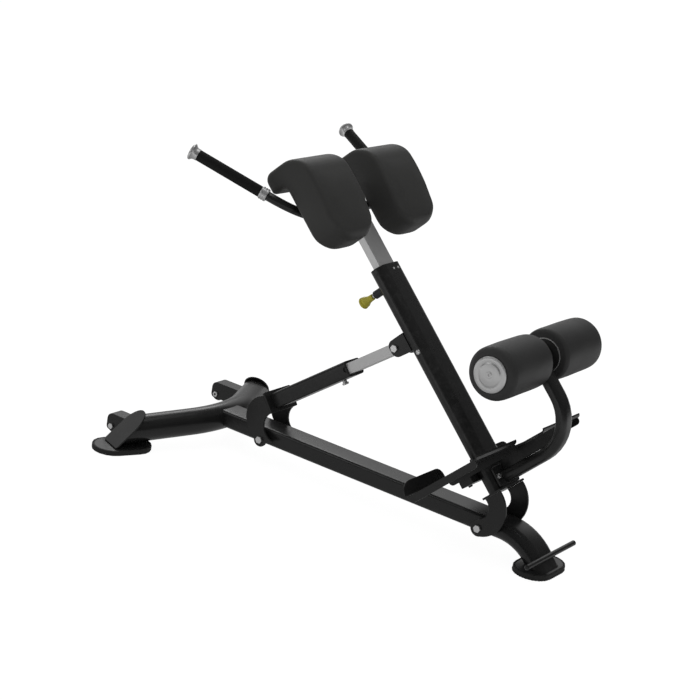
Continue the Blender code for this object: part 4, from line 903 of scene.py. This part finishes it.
def pad_form(name):
    outline = crowned(even_outline(rounded(PAD_SIDE_VIEW), PAD_SPACING))
    normals = []
    for index in range(len(outline)):
        chord = Vector(outline[(index + 1) % len(outline)]) - Vector(outline[index - 1])
        normals.append(Vector((-chord.y, chord.x)).normalized())
    half = (PAD_OUTER_Y - PAD_INNER_Y) / 2
    turns = [pi / 2 * k / SIDE_EDGE_STEPS for k in range(SIDE_EDGE_STEPS + 1)]
    ends = [PAD_SIDE_EDGE * (1 - cos(turn)) for turn in turns] + PAST_SIDE_EDGE
    stations = [(-half + e, e) for e in ends] + [(half - e, e) for e in reversed(ends)]
    form = bmesh.new()
    rings = []
    for y, from_end in stations:
        inset = drawn_in(from_end, PAD_SIDE_EDGE)
        corner = drawn_in(from_end, PAD_LOW_CORNER)
        ring = []
        for (across, along), normal in zip(outline, normals):
            low = share_of(PAD_BOTTOM + PAD_LOW_REACH - along, 0, PAD_LOW_REACH)
            point = (across + normal.x * inset, along + normal.y * inset + corner * low)
            ring.append(form.verts.new(on_post(point[0], y - PAD_MIDDLE_Y, point[1])))
        rings.append(ring)
    skin(form, rings)
    form.faces.new(rings[0][::-1])
    form.faces.new(rings[-1])
    return mesh_of(form, name)


# %% Make the near pad
BOARD_DEPTH = 0.006
BOARD_TOP = 0.925


def stuffed_pad(name):
    mesh = pad_form(f"{name}_plain")
    normals = np.array([v.normal[:] for v in mesh.vertices])
    set_points(mesh, points_of(mesh) - normals * PAD_SHRINK)
    squares = remeshed(mesh, name, PAD_VOXEL)
    pad = new_object(name, squares)
    sides = [(vertex.index, place_on_post(vertex.co)) for vertex in squares.vertices]
    pinned = [index for index, (across, along) in sides if across < BOARD_DEPTH and along < BOARD_TOP]
    swell(pad, pinned)
    squares.shade_smooth()
    squares.materials.clear()
    squares.materials.append(charcoal_vinyl)
    return pad


near_pad = stuffed_pad("vinyl_pad_left")
print("near pad:", len(near_pad.data.vertices), "points")

# %% Mirror it for the far side
far_mesh = near_pad.data.copy()
far_mesh.name = "vinyl_pad_right"
far_mesh.transform(Matrix.Scale(-1, 4, (0, 1, 0)))
far_mesh.flip_normals()
far_pad = new_object("vinyl_pad_right", far_mesh)
for pad, side in ((near_pad, "left"), (far_pad, "right")):
    ease = pad.modifiers.new("ease_out_steps", "SMOOTH")
    ease.factor = 0.5
    ease.iterations = 3
    fine = pad.modifiers.new("finer_skin", "SUBSURF")
    fine.levels = 1
    fine.render_levels = 1
    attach(pad, "carriage")
    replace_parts(pad, f"thigh_pad_{side}")

# %% [markdown]
# The ankle rollers
#
# Each roller is a thick foam tube with rounded shoulders and a moulded skin, pressed between an end cap
# and a flange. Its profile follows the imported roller, with a rounder shoulder and many more steps, and slow
# waves of up to 0.3 mm, because foam is never turned true.

# %% Foam rollers
ROLLER_ACROSS = 0.2798
ROLLER_ALONG = 0.2455
ROLLER_INNER_Y = 0.0375
ROLLER_RADIUS = 0.0711
ROLLER_BORE = 0.0106
ROLLER_CROWN = 0.0012
CROWN_FLATNESS = 0.4
ROLLER_SIDE_STEPS = 14
OUTER_SHOULDER = 0.0200
INNER_SHOULDER = 0.0110
SEAT_RADIUS = 0.0425
SEAT_RIM = 0.0472
SEAT_DEPTH = 0.001
SEAT_RISE = 0.0002
CAP_STAND_OFF = 0.003
SKIN_FROM = 0.055
SKIN_DROP = 0.0003
# Each wave of the skin has a height, a number of turns around the roller, and a rate along it.
SKIN_WAVES = ((0.00018, 3, 40), (0.00012, 5, -63))


def round_shoulder(radius, height, way, shoulder, steps=10):
    """A quarter round from the flat end, at the given height, to the side of the roller."""
    points = []
    for k in range(steps + 1):
        turn = pi / 2 * k / steps
        points.append((radius - shoulder + shoulder * sin(turn), height - way * shoulder * (1 - cos(turn))))
    return points


def uneven(points, middle):
    """The side of a roller with slow waves around and along it."""
    away = (points - np.array([middle.x, 0, middle.z])) * np.array([1, 0, 1])
    radius = np.linalg.norm(away, axis=1, keepdims=True)
    turn = np.arctan2(away[:, 2:3], away[:, 0:1])
    y = points[:, 1:2]
    wave = sum(height * np.sin(around * turn + along * y) for height, around, along in SKIN_WAVES)
    outer = (radius > SKIN_FROM).astype(float)
    return points + away / np.maximum(radius, 1e-6) * (wave - SKIN_DROP) * outer


roller_ends = {}
for side, sign in SIDES:
    low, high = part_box(f"roller_{side}")
    length = high.y - low.y
    base = on_post(ROLLER_ACROSS, sign * ROLLER_INNER_Y, ROLLER_ALONG)
    roller_ends[side] = base, base + Vector((0, sign * (length + CAP_STAND_OFF), 0))
    crown = ROLLER_RADIUS - ROLLER_CROWN
    seat = length - SEAT_DEPTH
    profile = [(ROLLER_BORE, seat), (SEAT_RADIUS, seat), (SEAT_RIM, length + SEAT_RISE)]
    profile += round_shoulder(crown, length, 1, OUTER_SHOULDER)[1:]
    side_length = length - OUTER_SHOULDER - INNER_SHOULDER
    for k in range(1, ROLLER_SIDE_STEPS):
        bulge = ROLLER_CROWN * sin(pi * k / ROLLER_SIDE_STEPS) ** CROWN_FLATNESS
        profile.append((crown + bulge, length - OUTER_SHOULDER - side_length * k / ROLLER_SIDE_STEPS))
    profile += list(reversed(round_shoulder(crown, 0.0, -1, INNER_SHOULDER)))
    profile += [(ROLLER_BORE, 0.0), (ROLLER_BORE, seat)]
    roller = turned(f"foam_roller_{side}", profile, base, (0, sign, 0), "roller_foam", f"roller_{side}_spin",
                    steps=96, soft_angle=50)
    set_points(roller.data, uneven(points_of(roller.data), base))
    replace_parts(roller, f"roller_{side}")

# %% [markdown]
# Round trim
#
# The caps, collars, grips, knob and wheels are spun again with many more steps than the simulator needs,
# and with the small grooves and dimples that the photo shows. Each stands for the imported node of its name.

# %% Caps and rims of the rollers
def spun(node, profile, place, way, soft_angle=SOFT_ANGLE, finish=None):
    piece = turned(f"{node}_spun", profile, place, way, node_slot[node], frame["nodes"][node]["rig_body"],
                   steps=64, soft_angle=soft_angle, finish=finish)
    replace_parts(piece, node)


CAP_FACE = [(0, 0.0036), (0.0020, 0.0036), (0.0028, 0.0052), (0.0075, 0.0056), (0.0090, 0.0048),
            (0.0105, 0.0050), (0.0200, 0.0044), (0.0280, 0.0032), (0.0305, 0.0016), (0.0318, 0.0010),
            (0.0330, 0.0014), (0.0400, 0.0018), (0.0440, 0.0012), (0.0462, 0.0001), (0.0465, -0.0012),
            (0.0420, -0.0036), (0, -0.0036)]
RIM_RING = [(0.0446, -0.0003), (0.0465, -0.0003), (0.0468, -0.0012), (0.0464, -0.0027), (0.0446, -0.0028),
            (0.0446, -0.0003)]
RIM_FACE = [(0.0110, -0.0004), (0.0445, -0.0004), (0.0445, -0.0022), (0.0110, -0.0022), (0.0110, -0.0004)]
for side, sign in SIDES:
    inner_end, outer_end = roller_ends[side]
    way = (0, sign, 0)
    spun(f"roller_cap_{side}", CAP_FACE, outer_end, way, soft_angle=24)
    spun(f"roller_flange_{side}", RIM_RING, inner_end, way, finish=silver_coat)
    turned(f"flange_face_{side}", RIM_FACE, inner_end, way, "black_plastic", f"roller_{side}_spin", steps=64)
print("roller trim made")

# %% Grips, collars and caps
GRIP_WAY = Vector((-0.397, 0.340, 0.852)).normalized()
COLLAR_PLACE = (-0.0384, 0.280, 0.946)
COLLAR_HALF = 0.010
COLLAR_RIBS = 3
RIB_PITCH = 0.0063
RIB_SHAPE = [(0.0173, 0.0003), (0.0175, 0.0012), (0.0175, 0.0032), (0.0173, 0.0040), (0.0163, 0.0044),
             (0.0163, 0.0058)]
GRIP_LENGTH = 0.188
GRIP_END = COLLAR_HALF + GRIP_LENGTH
BAR_BORE = 0.0129
collar_profile = [(BAR_BORE, COLLAR_HALF), (0.0165, COLLAR_HALF)]
for rib in range(COLLAR_RIBS):
    top = COLLAR_HALF - 0.0010 - rib * RIB_PITCH
    collar_profile += [(radius, top - drop) for radius, drop in RIB_SHAPE]
collar_profile += [(0.0155, -COLLAR_HALF), (BAR_BORE, -COLLAR_HALF), (BAR_BORE, COLLAR_HALF)]
grip_profile = [(BAR_BORE, GRIP_END), (0.0142, GRIP_END), (0.0149, GRIP_END - 0.0010),
                (0.0150, GRIP_END - 0.0030), (0.0150, COLLAR_HALF + 0.0020), (0.0146, COLLAR_HALF + 0.0005),
                (BAR_BORE, COLLAR_HALF + 0.0003), (BAR_BORE, GRIP_END)]
cap_profile = [(0, 0.0230), (0.0060, 0.0236), (0.0175, 0.0236), (0.0205, 0.0228), (0.0222, 0.0208),
               (0.0225, 0.0188), (0.0221, 0.0170), (0.0190, 0.0142), (0.0168, 0.0112), (0.0160, 0.0070),
               (0.0160, 0.0030), (0.0156, 0.0003), (0, 0.0003)]
for side, sign in SIDES:
    way = POST_ACROSS * GRIP_WAY.x + Vector((0, sign * GRIP_WAY.y, 0)) + POST_ALONG * GRIP_WAY.z
    middle = on_post(COLLAR_PLACE[0], sign * COLLAR_PLACE[1], COLLAR_PLACE[2])
    spun(f"grip_collar_{side}", collar_profile, middle, way)
    spun(f"grip_{side}", grip_profile, middle, way)
    spun(f"grip_cap_{side}", cap_profile, middle + way * GRIP_END, way)
print("grips made")

# %% Knob and wheels
KNOB_ACROSS = -0.0765
KNOB_ALONG = 0.615
KNOB_PROFILE = [(0.0043, 0.0), (0.0078, 0.0), (0.0088, -0.0010), (0.0090, -0.0100), (0.0098, -0.0160),
                (0.0118, -0.0215), (0.0146, -0.0262), (0.0152, -0.0290), (0.0150, -0.0305),
                (0.0138, -0.0318), (0.0138, -0.0328), (0.0158, -0.0342), (0.0166, -0.0362),
                (0.0165, -0.0388), (0.0150, -0.0406), (0.0110, -0.0412), (0, -0.0413)]
spun("pull_knob", KNOB_PROFILE, on_post(KNOB_ACROSS, 0, KNOB_ALONG), POST_ACROSS)
WHEEL_X = -0.6425
WHEEL_Y = 0.2395
WHEEL_Z = 0.028
WHEEL_PROFILE = [(0.0046, 0.0150), (0.0136, 0.0150), (0.0150, 0.0130), (0.0180, 0.0130), (0.0190, 0.0142),
                 (0.0208, 0.0136), (0.0219, 0.0112), (0.0220, 0.0)]
wheel_profile = WHEEL_PROFILE + [(radius, -height) for radius, height in reversed(WHEEL_PROFILE[:-1])]
wheel_profile.append(wheel_profile[0])
for side, sign in SIDES:
    spun(f"transport_wheel_{side}", wheel_profile, (WHEEL_X, sign * WHEEL_Y, WHEEL_Z), (0, 1, 0))
print("knob and wheels made")

# %% [markdown]
# Clevis and arm web
#
# The brace hangs in a clevis with round ended cheeks. The arm's bend is closed by a web plate, welded
# between the tube and the flange, so nothing shows between the arm and the foot plates from the side.

# %% Clevis cheeks and web
POST_BACK = -0.0253
CLEVIS_ACROSS = -0.0693
CLEVIS_ALONG = 0.4604
CLEVIS_THICK = 0.005
CLEVIS_LOW = CLEVIS_ALONG - 0.0312
CLEVIS_HIGH = CLEVIS_ALONG + 0.0243
CHEEK_TIP = CLEVIS_ACROSS - 0.0165
CHEEK_Y = 0.0333
BASE_THICK = 0.004


def post_plate(name, outline, thick, y=0.0, edge=0.0008):
    return cut_plate(name, outline, thick, POST_FOOT + Vector((0, y, 0)), POST_ACROSS, POST_ALONG,
                     "frame_paint", "post", edge=edge)


cheek = rounded([(POST_BACK, CLEVIS_LOW, 0), (POST_BACK, CLEVIS_HIGH, 0),
                 (CHEEK_TIP, CLEVIS_ALONG + 0.0225, 0.0175), (CHEEK_TIP, CLEVIS_ALONG - 0.0245, 0.0215)], 12)
clevis_foot = [(POST_BACK, CLEVIS_LOW), (POST_BACK, CLEVIS_HIGH), (POST_BACK - BASE_THICK, CLEVIS_HIGH),
               (POST_BACK - BASE_THICK, CLEVIS_LOW)]
clevis_base = post_plate("clevis_base", clevis_foot, 2 * CHEEK_Y - CLEVIS_THICK, edge=0.0006)
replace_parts(clevis_base, "clevis_bracket")
for side, sign in SIDES:
    post_plate(f"clevis_cheek_{side}", cheek, CLEVIS_THICK, y=sign * CHEEK_Y)
WEB_START = 0.0316
WEB_LOW = 0.0388
WEB_TOP = 0.0722
WEB_THICK = 0.006
WEB_STEPS = 20
BEND_ACROSS = 0.1638
BEND_ALONG = 0.1380
BEND_INSIDE = 0.0986
rise = asin((BEND_ALONG - WEB_TOP) / BEND_INSIDE)
web = [(WEB_START, WEB_LOW)]
for k in range(WEB_STEPS + 1):
    angle = -pi / 2 + (pi / 2 - rise) * k / WEB_STEPS
    web.append((BEND_ACROSS + BEND_INSIDE * cos(angle), BEND_ALONG + BEND_INSIDE * sin(angle)))
web.append((WEB_START, WEB_TOP))
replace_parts(post_plate("arm_web", web, WEB_THICK), "arm_gusset")
print("clevis and web made")

# %% [markdown]
# Small fasteners
#
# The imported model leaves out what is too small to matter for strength. The photo shows two little screws
# that hold the plastic guide at the mouth of the post, a bright bolt head beside the brace clevis, a dark
# plug near the top, and the bolts of the roller arm's flange and of the foot plates' beam. Each is a
# turned head seated on its face.

# %% Screws and bolt heads
PAN_HEAD = [(0, 0.0022), (0.0012, 0.0022), (0.0024, 0.0018), (0.0033, 0.0009), (0.0036, 0.0), (0, 0.0)]
BUTTON_HEAD = [(0, 0.0022), (0.0028, 0.0022), (0.0030, 0.0042), (0.0042, 0.0040), (0.0060, 0.0026),
               (0.0068, 0.0008), (0.0068, 0.0), (0, 0.0)]
PLUG_HEAD = [(0, 0.0007), (0.0022, 0.0008), (0.0032, 0.0005), (0.0036, 0.0), (0, 0.0)]
HEX_HEAD = [(0, 0.0050), (0.0062, 0.0050), (0.0070, 0.0042), (0.0070, 0.0), (0, 0.0)]
SMALL_HEX = [(0, 0.0045), (0.0052, 0.0045), (0.0060, 0.0036), (0.0060, 0.0), (0, 0.0)]
ROUND_NUT = [(0, 0.0085), (0.0060, 0.0085), (0.0085, 0.0070), (0.0095, 0.0040), (0.0095, 0.0), (0, 0.0)]
POST_FACE = 0.0251
POST_SIDE_Y = 0.0501
GUIDE_SCREWS = ((0.000, 0.6486), (0.020, 0.6486))
# Each row gives the name, the profile, the place across, sideways and along the post, the way the head
# points, where None is straight out sideways, the slot, the steps around and the soft angle.
PAIRED_HEADS = [("clevis_side_bolt", BUTTON_HEAD, (0, POST_SIDE_Y, 0.416), None, "zinc", 32, 38),
                ("guide_plug", PLUG_HEAD, (0, POST_SIDE_Y, 0.649), None, "black_plastic", 24, 38),
                ("arm_flange_bolt", HEX_HEAD, (0.0313, 0.039, 0.030), POST_ACROSS, "zinc", 6, 20),
                ("beam_bolt", SMALL_HEX, (-0.047, 0.058, 0.045), -POST_ALONG, "frame_paint", 6, 20),
                ("post_nut", ROUND_NUT, (-0.025, 0.022, 0.098), -POST_ACROSS, "frame_paint", 32, 38)]
for number, (y, along) in enumerate(GUIDE_SCREWS):
    turned(f"guide_screw_{number + 1}", PAN_HEAD, on_post(POST_FACE, y, along), POST_ACROSS, "zinc", "post",
           steps=24)
for name, profile, (across, y, along), way, slot, steps, soft_angle in PAIRED_HEADS:
    for side, sign in SIDES:
        out = (0, sign, 0) if way is None else way
        turned(f"{name}_{side}", profile, on_post(across, sign * y, along), out, slot, "post", steps=steps,
               soft_angle=soft_angle)

# %% [markdown]
# Wheel axle ends and the toothed rear tread
#
# The inner end of each wheel axle is hollow, and a thin black disc on it is painted shade for its dark
# inside, in a bright ring. The rubber of the rear foot has a row of small teeth along its lower edge, which
# grip the floor.

# %% Axle ends and rear tread
AXLE_END_Y = 0.2122
AXLE_SHADE_DISC = [(0, 0.0003), (0.0034, 0.0003), (0.0037, 0.0), (0, 0.0)]
# A thin black disc on each axle end: painted shade for the hollow inside.
for side, sign in SIDES:
    turned(f"axle_hollow_{side}", AXLE_SHADE_DISC, (WHEEL_X, sign * AXLE_END_Y, WHEEL_Z), (0, -sign, 0),
           "black_plastic", "base", steps=24)
TREAD_THICK = 0.0034
TOOTH_PITCH = 0.009
TOOTH_SHAPE = (0.0, 0.0012, 0.0012, 0.0)
SOLE_Z = 0.001
low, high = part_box("rear_foot_pad")
pad_middle = Vector(((low.x + high.x) / 2, 0))
sole = {(round(vertex.co.x, 5), round(vertex.co.y, 5))
        for vertex in frame["nodes"]["rear_foot_pad"].data.vertices if vertex.co.z < SOLE_Z}
rim = sorted(sole, key=lambda point: atan2(point[1] - pad_middle.y, point[0] - pad_middle.x))
spans = [(Vector(start), Vector(end) - Vector(start)) for start, end in zip(rim, rim[1:] + rim[:1])]
rim_length = sum(span.length for start, span in spans)
teeth = round(rim_length / TOOTH_PITCH)
quarters = len(TOOTH_SHAPE) * teeth
stops = [number * rim_length / quarters for number in range(quarters)]
tread = []
walked = 0.0
for start, span in spans:
    while len(tread) < quarters and stops[len(tread)] < walked + span.length:
        offset = start + span * ((stops[len(tread)] - walked) / span.length) - pad_middle
        tread.append(offset + offset.normalized() * TOOTH_SHAPE[len(tread) % len(TOOTH_SHAPE)])
    walked += span.length
cut_plate("rear_pad_tread", tread, TREAD_THICK, (pad_middle.x, 0, TREAD_THICK / 2), (1, 0, 0), (0, 1, 0),
          "foot_rubber", "base", edge=0.0004)
print("tread teeth:", teeth)
